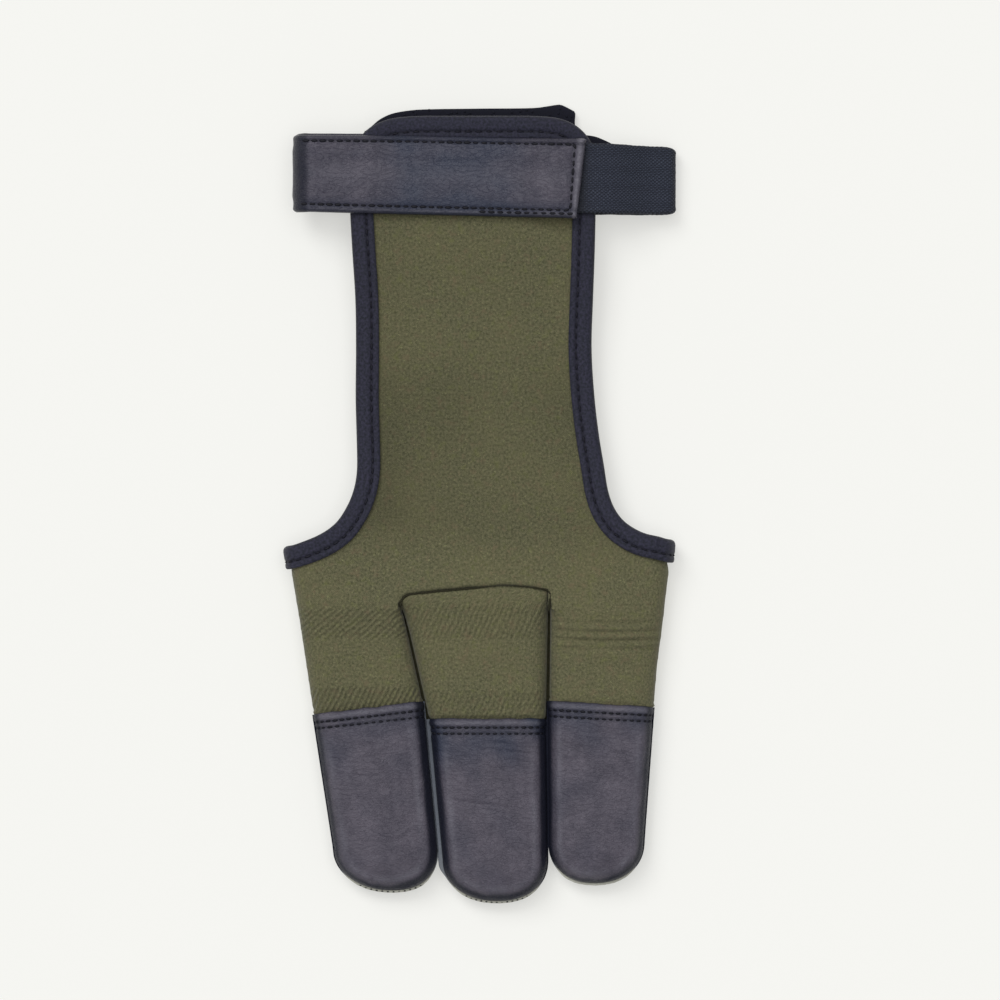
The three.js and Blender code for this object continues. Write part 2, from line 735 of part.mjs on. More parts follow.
// Finishes
const finishes = {
  cloth: new THREE.MeshStandardMaterial({ color: 0x5d5e44, roughness: 0.85, metalness: 0 }),
  leather: new THREE.MeshStandardMaterial({ color: 0x4a4a55, roughness: 0.5, metalness: 0 }),
  tape: new THREE.MeshStandardMaterial({ color: 0x2c2e39, roughness: 0.75, metalness: 0 }),
  elastic: new THREE.MeshStandardMaterial({ color: 0x2f333d, roughness: 0.8, metalness: 0 }),
  closure: new THREE.MeshStandardMaterial({ color: 0x14171a, roughness: 0.95, metalness: 0 }),
};
const finishOf = {
  hand_panel: finishes.cloth,
  middle_sleeve: finishes.cloth,
  edge_binding: finishes.tape,
  elastic_band: finishes.elastic,
  loop_patch: finishes.closure,
  hook_tab: finishes.closure,
};

// The glove stands on Z = 0 with the middle of its outline at the origin
const glove = new THREE.Group();
Object.entries(pieces).forEach(([name, solid]) => {
  const mesh = solid.getMesh();
  const geometry = new THREE.BufferGeometry();
  geometry.setAttribute("position", new THREE.BufferAttribute(mesh.vertProperties, 3));
  geometry.setIndex(new THREE.BufferAttribute(mesh.triVerts, 1));
  geometry.computeVertexNormals();
  const piece = new THREE.Mesh(geometry, (finishOf[name] || finishes.leather).clone());
  piece.name = name;
  glove.add(piece);
});
const extent = new THREE.Box3().setFromObject(glove);
const middle = extent.getCenter(new THREE.Vector3());
glove.position.set(-middle.x, -middle.y, -extent.min.z);
const archeryGlove = new THREE.Group();
archeryGlove.add(glove);
archeryGlove.updateMatrixWorld(true);

export default archeryGlove;
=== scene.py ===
# Archery glove for three fingers, laid flat with its open side down
# X runs across the hand, Y towards the wrist and Z up from the table

import math

import bmesh
import bpy
import numpy as np
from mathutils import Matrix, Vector, noise


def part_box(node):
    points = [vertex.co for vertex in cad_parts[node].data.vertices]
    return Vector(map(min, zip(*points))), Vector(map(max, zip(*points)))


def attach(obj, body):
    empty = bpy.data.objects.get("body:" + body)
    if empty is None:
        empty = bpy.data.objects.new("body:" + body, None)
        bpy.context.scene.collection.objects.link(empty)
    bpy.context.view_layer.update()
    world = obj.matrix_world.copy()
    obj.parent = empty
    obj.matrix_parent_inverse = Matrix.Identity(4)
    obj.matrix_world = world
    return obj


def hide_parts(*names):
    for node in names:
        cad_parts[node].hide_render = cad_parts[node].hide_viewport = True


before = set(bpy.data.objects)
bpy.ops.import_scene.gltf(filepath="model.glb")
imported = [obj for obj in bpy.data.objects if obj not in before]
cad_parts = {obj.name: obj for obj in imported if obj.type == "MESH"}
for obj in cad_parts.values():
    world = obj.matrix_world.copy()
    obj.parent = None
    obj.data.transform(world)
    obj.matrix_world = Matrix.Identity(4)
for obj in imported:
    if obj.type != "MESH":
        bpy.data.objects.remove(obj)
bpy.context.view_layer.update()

# HAND PANEL
# One piece of stretch cloth, cut and folded round both sides of the knuckles, with the index
# and ring sleeves in one with it. Its rim is bound later, and a curved notch takes the middle
# sleeve. The cloth is a fine brushed knit, so it lies in broad shallow waves and small puckers.
MM = 0.001
WEB_FILL = (3.6, 4.4, 1.5)
FLAT = np.array([1, 1, 0])
WEB_DEPTH = 16.0
PANEL_LENGTH = 123.8
HAND_THICKNESS = 11.0
HAND_CROWN = 0.6
WRIST_TOP = 12.2
PANEL_SAG = 2.6
MOUTH_LIFT = 1.4
CLOTH_WALL = 1.5
LEATHER_WALL = 1.3
FIT_GAP = 0.3
SEAM_HEIGHT = HAND_THICKNESS / 2
CAP_SHARE = 0.23
CAP_POWER = 2.2
MIDDLE_WIDTH = 33.9
FINGERS = {
    "index": dict(side=-1, width=32.1, sleeve=31.4, stall=52.9, slant=3.9, web=0.95, tip=0.94, lean=0.06),
    "middle": dict(side=0, width=33.9, sleeve=34.6, stall=52.8, slant=0.0, web=1.25, tip=0.9, lean=0.02),
    "ring": dict(side=1, width=30.8, sleeve=30.3, stall=51.9, slant=-1.8, web=1.07, tip=0.89, lean=-0.02),
}
MIDDLE_LINE = {"web": -0.034, "join": 0.072, "tip": 0.136}
SIDE_GAPS = {
    -1: {"web": 0.4, "join": 1.6, "tip": 1.4},
    1: {"web": 0.4, "join": 0.5, "tip": 0.5},
}
ELASTIC_REACH = 57.1
MIDDLE_END = WEB_DEPTH + FINGERS["middle"]["sleeve"] + FINGERS["middle"]["stall"]
SHIFT = np.array([
    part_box("elastic_band")[1].x / MM - ELASTIC_REACH,
    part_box("middle_stall_front")[0].y / MM + MIDDLE_END,
    0.0,
])


def mix(start, end, share):
    return start + (end - start) * share


def clamp(value, low=0.0, high=1.0):
    return np.minimum(high, np.maximum(low, value))


def ease(value):
    value = clamp(value)
    return value * value * (3 - 2 * value)


def ridge(distance, width):
    return np.exp(-(distance / width) ** 2)


def ripple(points, sizes, seed):
    """Smooth noise from -1 to 1 at each point, with its own wave size in mm on each axis."""
    stretched = points / np.array(sizes) + seed
    values = [noise.noise(Vector(place)) for place in stretched.reshape(-1, 3)]
    return np.array(values).reshape(points.shape[:-1])


def finger_sides(finger, station):
    def share(one):
        return 1.0 if station == "join" else one[station]

    centre = MIDDLE_LINE[station] * MIDDLE_WIDTH
    half = MIDDLE_WIDTH * share(FINGERS["middle"]) / 2
    if finger["side"] == 0:
        return centre - half, centre + half
    width = finger["width"] * share(finger)
    gap = SIDE_GAPS[finger["side"]][station]
    if finger["side"] < 0:
        return centre - half - gap - width, centre - half - gap
    return centre + half + gap, centre + half + gap + width


def finger_section(finger, along, inset=0.0):
    """Outer section of a finger at a distance along it from the web, shrunk by an inset."""
    cap_start = finger["sleeve"] + finger["stall"] * (1 - CAP_SHARE)
    on_sleeve = along <= finger["sleeve"]
    on_stall = (along - finger["sleeve"]) / (cap_start - finger["sleeve"])
    share = along / finger["sleeve"] if on_sleeve else min(1, on_stall)
    start = finger_sides(finger, "web" if on_sleeve else "join")
    end = finger_sides(finger, "join" if on_sleeve else "tip")
    cap_length = finger["stall"] * CAP_SHARE - inset
    cap_along = float(clamp((along - cap_start) / cap_length))
    narrowing = max(0.02, (1 - cap_along ** CAP_POWER) ** (1 / CAP_POWER))
    left = mix(start[0], end[0], share) + inset
    right = mix(start[1], end[1], share) - inset
    centre = (left + right) / 2 + finger["lean"] * finger["width"] * cap_along ** 2
    half = (right - left) / 2 * narrowing
    rise = (SEAM_HEIGHT - inset) * narrowing
    return dict(
        y=-WEB_DEPTH - min(along, cap_start + cap_length), left=centre - half, right=centre + half,
        bottom=SEAM_HEIGHT - rise, top=SEAM_HEIGHT + rise, crown=HAND_CROWN * narrowing,
        slant=finger["slant"] / finger["width"] * (share if on_sleeve else 1 - share),
    )


def half_ring(section, count, upper=True):
    """Points from the left seam to the right one, over the top of a flattened tube or under it."""
    centre = (section["left"] + section["right"]) / 2
    half = (section["right"] - section["left"]) / 2
    side_top = section["top"] - section["crown"]
    rise = (side_top - section["bottom"]) / 2
    side = min(rise, half * 0.9)
    flat = half - side
    corner = math.pi / 2 * math.hypot(side, rise) / math.sqrt(2)
    run = np.linspace(0, 2 * (corner + flat), count)
    start = clamp(run / corner) * math.pi / 2
    end = clamp((run[-1] - run) / corner) * math.pi / 2
    across = clamp(run - corner, 0, 2 * flat) - flat
    x = centre + across - side * np.cos(start) + side * np.cos(end)
    up = rise * np.minimum(np.sin(start), np.sin(end))
    crown = section["crown"] * (1 - (across / max(flat, MM)) ** 2) if upper else 0.0
    z = (side_top + section["bottom"]) / 2 + (up + crown if upper else -up)
    y = section["y"] + section["slant"] * (x - centre)
    return np.stack([x, y, z], axis=1)


def whole_ring(section, count):
    return np.concatenate([half_ring(section, count), half_ring(section, count, upper=False)[-2:0:-1]])


def put_in_scene(name, data):
    placed = bpy.data.objects.new(name, data)
    bpy.context.scene.collection.objects.link(placed)
    return placed


def make_piece(name, points, faces, material, attributes=()):
    """Mesh object from points in millimetres, with smooth faces and its own named attributes."""
    mesh = bpy.data.meshes.new(name)
    mesh.from_pydata(((points + SHIFT) * MM).tolist(), [], faces)
    mesh.materials.append(material)
    mesh.shade_smooth()
    for label, values in dict(attributes).items():
        values = np.asarray(values, np.float32)
        kind = "FLOAT" if values.ndim == 1 else "FLOAT_VECTOR"
        attribute = mesh.attributes.new(label, kind, "POINT")
        attribute.data.foreach_set("value" if values.ndim == 1 else "vector", values.ravel())
    return put_in_scene(name, mesh)


def fit(piece, slot, *nodes):
    if nodes:
        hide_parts(*nodes)
    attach(piece, "root")
    return piece


def node_into(tree, kind, inputs=(), **settings):
    """New node with its settings, whose inputs are values or other nodes' sockets."""
    node = tree.nodes.new(kind)
    for setting, value in settings.items():
        setattr(node, setting, value)
    for key, value in dict(inputs).items():
        if isinstance(value, bpy.types.NodeSocket):
            tree.links.new(value, node.inputs[key])
        else:
            node.inputs[key].default_value = value
    return node


def blend_colours(tree, share, first, second, way="MIX"):
    """Colour between two colours or colour sockets."""
    node = tree.nodes.new("ShaderNodeMix")
    node.data_type = "RGBA"
    node.blend_type = way
    for index, value in ((0, share), (6, first), (7, second)):
        if isinstance(value, bpy.types.NodeSocket):
            tree.links.new(value, node.inputs[index])
        else:
            node.inputs[index].default_value = value
    return node.outputs[2]


def maths(tree, operation, *values):
    return node_into(tree, "ShaderNodeMath", dict(enumerate(values)), operation=operation).outputs[0]


def noise_into(tree, place, scale, detail=2.0, roughness=0.5):
    return node_into(tree, "ShaderNodeTexNoise", {
        "Vector": place, "Scale": scale, "Detail": detail, "Roughness": roughness,
    }).outputs[0]


def remap(tree, value, low=0.0, high=1.0, start=0.0, end=1.0):
    """A value that runs from low to high, moved to run from start to end."""
    return node_into(tree, "ShaderNodeMapRange", {
        "Value": value, "From Min": low, "From Max": high, "To Min": start, "To Max": end,
    }).outputs[0]


def painted(tree, label):
    """Value that the piece carries at each of its points under this label."""
    return node_into(tree, "ShaderNodeAttribute", attribute_name=label).outputs["Fac"]


def new_material(name):
    material = bpy.data.materials.new(name)
    material.use_nodes = True
    return material, material.node_tree, material.node_tree.nodes["Principled BSDF"]


def emboss(tree, finish, height, strength, depth):
    """Fine relief of a surface, with its depth in millimetres."""
    bump = node_into(tree, "ShaderNodeBump", {"Height": height, "Strength": strength, "Distance": depth * MM})
    tree.links.new(bump.outputs[0], finish.inputs["Normal"])


def dye(red, green, blue):
    """Linear colour from the shade seen on the glove, 0 to 255."""
    return tuple(((part / 255 + 0.055) / 1.055) ** 2.4 for part in (red, green, blue)) + (1.0,)


def new_group(name, inputs, outputs):
    """Shader node group with named float, vector or colour sockets, and its two end nodes."""
    group = bpy.data.node_groups.new(name, "ShaderNodeTree")
    for side, sockets in (("INPUT", inputs), ("OUTPUT", outputs)):
        for label, kind in sockets.items():
            group.interface.new_socket(label, in_out=side, socket_type="NodeSocket" + kind)
    return group, group.nodes.new("NodeGroupInput"), group.nodes.new("NodeGroupOutput")


def read_cut(tree):
    """Place on the flat cut of the piece, in millimetres."""
    return node_into(tree, "ShaderNodeAttribute", attribute_name="cut").outputs["Vector"]


def knit_group():
    """Fine knit: rows of slanted loops, with the brushed fibres over them."""
    group, start, end = new_group("fine_knit", {
        "Place": "Vector", "Pitch": "Float",
    }, {"Height": "Float", "Tone": "Float"})
    scaled = node_into(group, "ShaderNodeVectorMath", {0: start.outputs["Place"]}, operation="DIVIDE")
    pitch = node_into(group, "ShaderNodeCombineXYZ", {axis: start.outputs["Pitch"] for axis in "XYZ"})
    group.links.new(pitch.outputs[0], scaled.inputs[1])
    parts = node_into(group, "ShaderNodeSeparateXYZ", {0: scaled.outputs[0]})
    zigzag = maths(group, "PINGPONG", parts.outputs[1], 0.5)
    column = maths(group, "ADD", parts.outputs[0], zigzag)
    loops = maths(group, "SINE", maths(group, "MULTIPLY", column, 2 * math.pi))
    rows = maths(group, "SINE", maths(group, "MULTIPLY", parts.outputs[1], 4 * math.pi))
    fibres = noise_into(group, start.outputs["Place"], 4.2, 4.0, 0.7)
    woven = maths(group, "ADD", maths(group, "MULTIPLY", loops, 0.3), maths(group, "MULTIPLY", rows, 0.12))
    height = maths(group, "ADD", woven, fibres)
    group.links.new(height, end.inputs["Height"])
    specks = noise_into(group, start.outputs["Place"], 1.3, 5.0, 0.8)
    tone = remap(group, specks, 0.32, 0.68)
    group.links.new(tone, end.inputs["Tone"])
    return group


KNIT = knit_group()
CLOTH_SHADES = (dye(47, 51, 31), dye(118, 115, 88))
CLOTH_WORN = dye(116, 110, 76)
CLOTH_PAINTED_SHADE = dye(38, 38, 24)


def cloth_material():
    material, tree, finish = new_material("olive_stretch_cloth")
    place = read_cut(tree)
    knit = node_into(tree, "ShaderNodeGroup", {}, node_tree=KNIT)
    tree.links.new(place, knit.inputs["Place"])
    knit.inputs["Pitch"].default_value = 0.62
    broad = noise_into(tree, place, 0.045, 3.0, 0.6)
    patch = remap(tree, broad, 0.35, 0.68)
    shade = blend_colours(tree, knit.outputs["Tone"], CLOTH_SHADES[0], CLOTH_SHADES[1])
    tone_and_shade = blend_colours(tree, maths(tree, "MULTIPLY", patch, 0.22), shade, CLOTH_WORN)
    hue = noise_into(tree, place, 0.32, 3.0, 0.7)
    for low, high, tint in ((0.55, 0.75, dye(112, 94, 74)), (0.45, 0.25, dye(104, 108, 62))):
        spot = remap(tree, hue, low, high, end=0.5)
        tone_and_shade = blend_colours(tree, spot, tone_and_shade, tint)
    lint = node_into(tree, "ShaderNodeTexNoise", {
        "Vector": place, "Scale": 1.9, "Detail": 1.0, "W": 4.0,
    }, noise_dimensions="4D")
    caught = remap(tree, lint.outputs[0], 0.62, 0.76, end=0.7)
    tone_and_shade = blend_colours(tree, caught, tone_and_shade, dye(130, 130, 93))
    tree.links.new(remap(tree, knit.outputs["Tone"], start=0.78, end=0.95), finish.inputs["Roughness"])
    finish.inputs["Sheen Weight"].default_value = 0.12
    finish.inputs["Sheen Roughness"].default_value = 0.5
    finish.inputs["Specular IOR Level"].default_value = 0.2
    phase = painted(tree, "rib_phase")
    depth = painted(tree, "rib_depth")
    wander = noise_into(tree, place, 0.22)
    turned = maths(tree, "ADD", phase, maths(tree, "MULTIPLY", wander, 0.9))
    ribs = maths(tree, "MULTIPLY", maths(tree, "SINE", maths(tree, "MULTIPLY", turned, 2 * math.pi)), depth)
    # Painted shade: the grooves between the knit ribs are darkened.
    painted_groove_shade = remap(tree, ribs, 0.1, -0.9, end=0.3)
    tone_and_shade = blend_colours(tree, painted_groove_shade, tone_and_shade, CLOTH_PAINTED_SHADE)
    # Painted shade: each piece's seam value darkens it where shade falls, in the seam valleys, across the
    # panel's sag and low between the fingers.
    seam = painted(tree, "seam")
    tree.links.new(blend_colours(tree, seam, tone_and_shade, CLOTH_PAINTED_SHADE), finish.inputs["Base Color"])
    ribbed = node_into(tree, "ShaderNodeBump", {"Height": ribs, "Strength": 0.9, "Distance": 0.2 * MM})
    fine = node_into(tree, "ShaderNodeBump", {
        "Height": knit.outputs["Height"], "Strength": 0.5, "Distance": 0.15 * MM, "Normal": ribbed.outputs[0],
    })
    tree.links.new(fine.outputs[0], finish.inputs["Normal"])
    return material


STRETCH_CLOTH = cloth_material()

ARCH_ROWS = (
    (0, -1), (0, 0), (0.04, 0.35), (0.22, 0.6), (0.42, 0.8), (0.7, 1), (0.87, 0.9), (1, 0.6), (1, -1),
)
WEB_ARCH = 4.0
LEATHER_PROUD = 0.7


def arch_line():
    """Seam line round the top of the middle sleeve, from the left web to the right one."""
    left, right = finger_sides(FINGERS["middle"], "web")
    return np.array(
        [[mix(left - 0.2, right + 0.2, across), -WEB_DEPTH + WEB_ARCH * up] for across, up in ARCH_ROWS]
    )


def distance_to(line, points):
    nearest = np.full(len(points), 1e9)
    for start, end in zip(line[:-1], line[1:]):
        run = end - start
        share = clamp(((points - start) @ run) / (run @ run))
        nearest = np.minimum(nearest, np.linalg.norm(points - start - share[:, None] * run, axis=1))
    return nearest


def sleeve_band(y, low, high):
    return ease((y - low) / 1.5) * ease((high - y) / 1.5)


PANEL_VOXEL = 0.65 * MM
PANEL_ROWS = (
    (-0.1, 0, 0), (0.03, 0, 0.03), (0.1, 0, 0.18), (0.18, 0, 0.45), (0.27, 0.06, 0.75), (0.38, 0.22, 1),
    (0.5, 0.5, 0.95), (0.6, 0.78, 0.6), (0.68, 0.95, 0.2), (0.74, 1, 0), (1.05, 1, 0),
)
ROW_TABLE = np.array(PANEL_ROWS)
ROW_Y = ROW_TABLE[:, 0] * PANEL_LENGTH
ROW_TOP = mix(HAND_THICKNESS, WRIST_TOP, ROW_TABLE[:, 1]) - PANEL_SAG * ROW_TABLE[:, 2]


def panel_top(y):
    return np.interp(y, ROW_Y, ROW_TOP)


def panel_ease(y):
    """How far the panel's top stands off the straight runs between its rows once they are eased."""
    steps = np.linspace(-8, 8, 9)
    weights = ridge(steps, 5.0)
    return sum(
        panel_top(y + step) * weight for step, weight in zip(steps, weights)
    ) / weights.sum() - panel_top(y)


def worked_cloth(places):
    """How far the shown cloth is pushed up or down by its own waves, puckers and folds."""
    flat = places.copy()
    flat[:, 2] = 0
    waves = 0.5 * ripple(flat, (34, 46, 1), 3.1) + 0.16 * ripple(flat, (11, 15, 1), 7.7)
    puckers = 0.05 * ripple(flat, (3.2, 4.5, 1), 12.3)
    x, y = places[:, 0], places[:, 1]
    ring_left = finger_sides(FINGERS["ring"], "web")[0]
    ring_folds = np.sin((y + 26.5 + 0.8 * np.sin((x - ring_left) / 11)) * 2 * math.pi / 2.5)
    ring_folds *= sleeve_band(y, -31.5, -21.5) * ease((x - ring_left) / 3)
    return waves + puckers + 0.55 * ring_folds


def sleeve_spread(places):
    """Sideways move that brings the sides of the outer sleeves out to the edge of the leather."""
    moved = np.zeros(len(places))
    for name in ("index", "ring"):
        finger = FINGERS[name]
        along = -WEB_DEPTH - places[:, 1]
        share = clamp(along / finger["sleeve"])
        web, join = finger_sides(finger, "web"), finger_sides(finger, "join")
        left, right = mix(web[0], join[0], share), mix(web[1], join[1], share)
        across = clamp((places[:, 0] - (left + right) / 2) / ((right - left) / 2), -1, 1)
        along = along + finger["slant"] / 2 * across * share
        here = (along > 0) * (
            finger["side"] * places[:, 0] > finger["side"] * (-20 if name == "index" else 20) - 4
        )
        inset = mix(
            LEATHER_PROUD * share, LEATHER_WALL + FIT_GAP, ease((along - finger["sleeve"] + 1.4) / 1.1),
        )
        moved += here * across * clamp(inset - 0.12, 0, 2) * ease((finger["sleeve"] + 0.7 - along) / 0.8)
    return moved


def make_hand_panel():
    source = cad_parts["hand_panel"].data.copy()
    work = bmesh.new()
    work.from_mesh(source)
    bmesh.ops.remove_doubles(work, verts=work.verts, dist=0.001 * MM)
    for edge, way in zip(finger_sides(FINGERS["middle"], "web"), (-1, 1)):
        for level in (1.1, panel_top(-WEB_DEPTH) - 1.1):
            for corner in bmesh.ops.create_cube(work, size=1.0)["verts"]:
                place = np.array(corner.co) * WEB_FILL + (edge + way * 2.7, -WEB_DEPTH - 1.0, level)
                corner.co = (place + SHIFT) * MM
    work.to_mesh(source)
    work.free()
    blank = put_in_scene("hand_panel_blank", source)
    remesh = blank.modifiers.new("even_faces", "REMESH")
    remesh.mode = "VOXEL"
    remesh.voxel_size = PANEL_VOXEL
    soften = blank.modifiers.new("soften", "SMOOTH")
    soften.factor = 0.5
    soften.iterations = 8
    evened = bpy.data.meshes.new_from_object(blank.evaluated_get(bpy.context.evaluated_depsgraph_get()))
    bpy.data.objects.remove(blank)
    count = len(evened.vertices)
    places = np.empty(count * 3, np.float32)
    evened.vertices.foreach_get("co", places)
    places = places.reshape(-1, 3).astype(float) / MM - SHIFT
    x, y, z = places.T
    left, right = finger_sides(FINGERS["middle"], "web")
    inward = np.minimum(np.abs(x - left + 0.4), np.abs(x - right - 0.4))
    near_web = ease((y + 26) / 10) * (y < -WEB_DEPTH + 0.1) * ease((9 - inward) / 4)
    half = panel_top(y) - SEAM_HEIGHT
    off = clamp((z - SEAM_HEIGHT) / half, 1e-6)
    places[:, 2] += (z > SEAM_HEIGHT) * half * (off ** (1 - 0.78 * near_web) - off)
    x, y, z = places.T
    top = panel_top(y)
    share = ease((z - 2.5) / (top - 4.5))
    lift = (panel_ease(y) + worked_cloth(places)) * share
    near_seam = distance_to(arch_line(), places[:, :2])
    valley = ease(1 - near_seam / 1.1) * (y > -WEB_DEPTH - 1)
    places[:, 2] += lift - 0.5 * valley * share
    right_side = ease((x - 36) / 8) * ease((-4 - y) / 4) * ease((y + 38) / 20)
    places[:, 0] += sleeve_spread(places) + 0.75 * right_side
    places[:, 2] = np.maximum(places[:, 2], 0.02)
    faces = [tuple(face.vertices) for face in evened.polygons]
    sides = {name: finger_sides(finger, "join") for name, finger in FINGERS.items()}
    on_index = x < sides["middle"][0] - 1
    phase = np.where(y > -36, x * 0.45 - y * 0.52, x * 0.62 - y * 0.3)
    depth = on_index * (0.7 * sleeve_band(y, -28, -17.5) + sleeve_band(y, -49.5, -40.5)) * share
    wrap = ease((np.abs(x) - 24) / 10) * np.sign(x) * (top - z)
    cut = np.stack([x + wrap, y, np.zeros(count)], axis=1)
    # Painted shade: the seam value darkens the cloth along the valley round the notch, across the sagging
    # middle of the panel, a little towards the wrist and down the left side, in soft patches.
    waist = 0.26 * ease((y + 8) / 18) * ease((66 - y) / 26) + 0.07 * ease((y - 46) / 20)
    waist += 0.08 * ease((-x - 18) / 10) * ease(y / 10)
    waist *= 0.8 + 0.5 * ripple(places * FLAT, (26, 30, 1), 17.5)
    seam = np.maximum(ease(1 - near_seam / 0.7) * 0.9, waist)
    return make_piece("hand_panel_cloth", places, faces, STRETCH_CLOTH, {
        "cut": cut, "rib_phase": phase, "rib_depth": depth, "seam": seam,
    })


hand_panel = fit(make_hand_panel(), "stretch_cloth", "hand_panel")

# MIDDLE SLEEVE
# A tube of the same cloth, let into the notch of the panel. Both edges of that seam are turned
# in, so it shows as a valley round the top, darkened with painted shade. Close diagonal ribs
# stand in the knit near its two ends, and its lower end is tucked into the leather.
SLEEVE_TUCK = 8.0
SLEEVE_STEP = 0.42


def grid_normals(grid, loop=False):
    padded = np.concatenate([grid[:, -1:], grid, grid[:, :1]], axis=1) if loop else grid
    along = np.gradient(padded, axis=0)
    across = np.gradient(padded, axis=1)
    normals = np.cross(across, along)
    normals /= np.linalg.norm(normals, axis=2, keepdims=True) + 1e-9
    return normals[:, 1:-1] if loop else normals


def shell(outer, inner, loop=False, bulge=0.3):
    """Closed wall between two grids of points, with a rounded rim along each open edge."""
    rows, columns = outer.shape[:2]
    index = np.arange(rows * columns).reshape(rows, columns)
    if loop:
        edges = [list(index[0]) + [index[0, 0]], (list(index[-1]) + [index[-1, 0]])[::-1]]
        wide = np.concatenate([index, index[:, :1]], axis=1)
    else:
        edges = [list(index[0]) + list(index[1:, -1]) + list(index[-1, -2::-1]) + list(index[-2::-1, 0])]
        wide = index
    quads = np.stack([wide[:-1, :-1], wide[:-1, 1:], wide[1:, 1:], wide[1:, :-1]], axis=2).reshape(-1, 4)
    total = rows * columns
    faces = quads.tolist() + (quads[:, ::-1] + total).tolist()
    points = [outer.reshape(-1, 3), inner.reshape(-1, 3)]
    inward = np.zeros((rows, columns, 3))
    inward[0] += outer[1] - outer[0]
    inward[-1] += outer[-2] - outer[-1]
    if not loop:
        inward[:, 0] += outer[:, 1] - outer[:, 0]
        inward[:, -1] += outer[:, -2] - outer[:, -1]
    inward = inward.reshape(-1, 3)
    sources = [np.arange(total), np.arange(total)]
    for edge in edges:
        ring = np.array(edge[:-1])
        direction = inward[ring] / (np.linalg.norm(inward[ring], axis=1, keepdims=True) + 1e-9)
        wall = np.linalg.norm(points[0][ring] - points[1][ring], axis=1, keepdims=True)
        first = sum(len(part) for part in points)
        points.append((points[0][ring] + points[1][ring]) / 2 - direction * wall * bulge)
        sources.append(ring)
        after = np.roll(np.arange(len(ring)), -1)
        here = np.arange(len(ring))
        upper = np.stack([ring[after], ring, here + first, after + first], axis=1)
        lower = np.stack([after + first, here + first, ring + total, ring[after] + total], axis=1)
        faces += upper.tolist() + lower.tolist()
    points = np.concatenate(points)
    return points, facing_out(points, faces), np.concatenate(sources)


def facing_out(points, faces):
    return [face[::-1] for face in faces] if signed_volume(points, faces) < 0 else faces


def signed_volume(points, faces):
    quads = np.array(faces)
    a, b, c, d = (points[quads[:, corner]] for corner in range(4))
    return (np.cross(a, b) * c).sum() + (np.cross(a, c) * d).sum()


def closed_loft(rings, joined):
    """Quads through rings of equally many points. Joined, the last ring meets the first one."""
    count, columns = rings.shape[:2]
    spans = count if joined else count - 1
    faces = []
    for row in range(spans):
        here, after = row * columns, (row + 1) % count * columns
        for column in range(columns):
            side = (column + 1) % columns
            faces.append([here + column, here + side, after + side, after + column])
    return faces


def run_along(line):
    """Distance of each point of a line from its first one."""
    return np.concatenate([[0], np.cumsum(np.linalg.norm(np.diff(line, axis=0), axis=1))])


def flat_cut(grid):
    """Place of each grid point on the flat cut: across from the middle column, and along."""
    steps_across = np.linalg.norm(np.diff(grid, axis=1), axis=2)
    across = np.concatenate([np.zeros((len(grid), 1)), np.cumsum(steps_across, axis=1)], axis=1)
    across -= across[:, grid.shape[1] // 2][:, None]
    along = run_along(grid[:, grid.shape[1] // 2])
    return np.stack([across, np.broadcast_to(along[:, None], across.shape), np.zeros_like(across)], axis=2)


def sleeve_inset(finger, along):
    edge = finger["sleeve"] - FIT_GAP
    proud = LEATHER_PROUD * clamp(along / finger["sleeve"])
    return float(mix(proud, LEATHER_WALL + FIT_GAP, ease((along - edge + 1.1) / 1.1)))


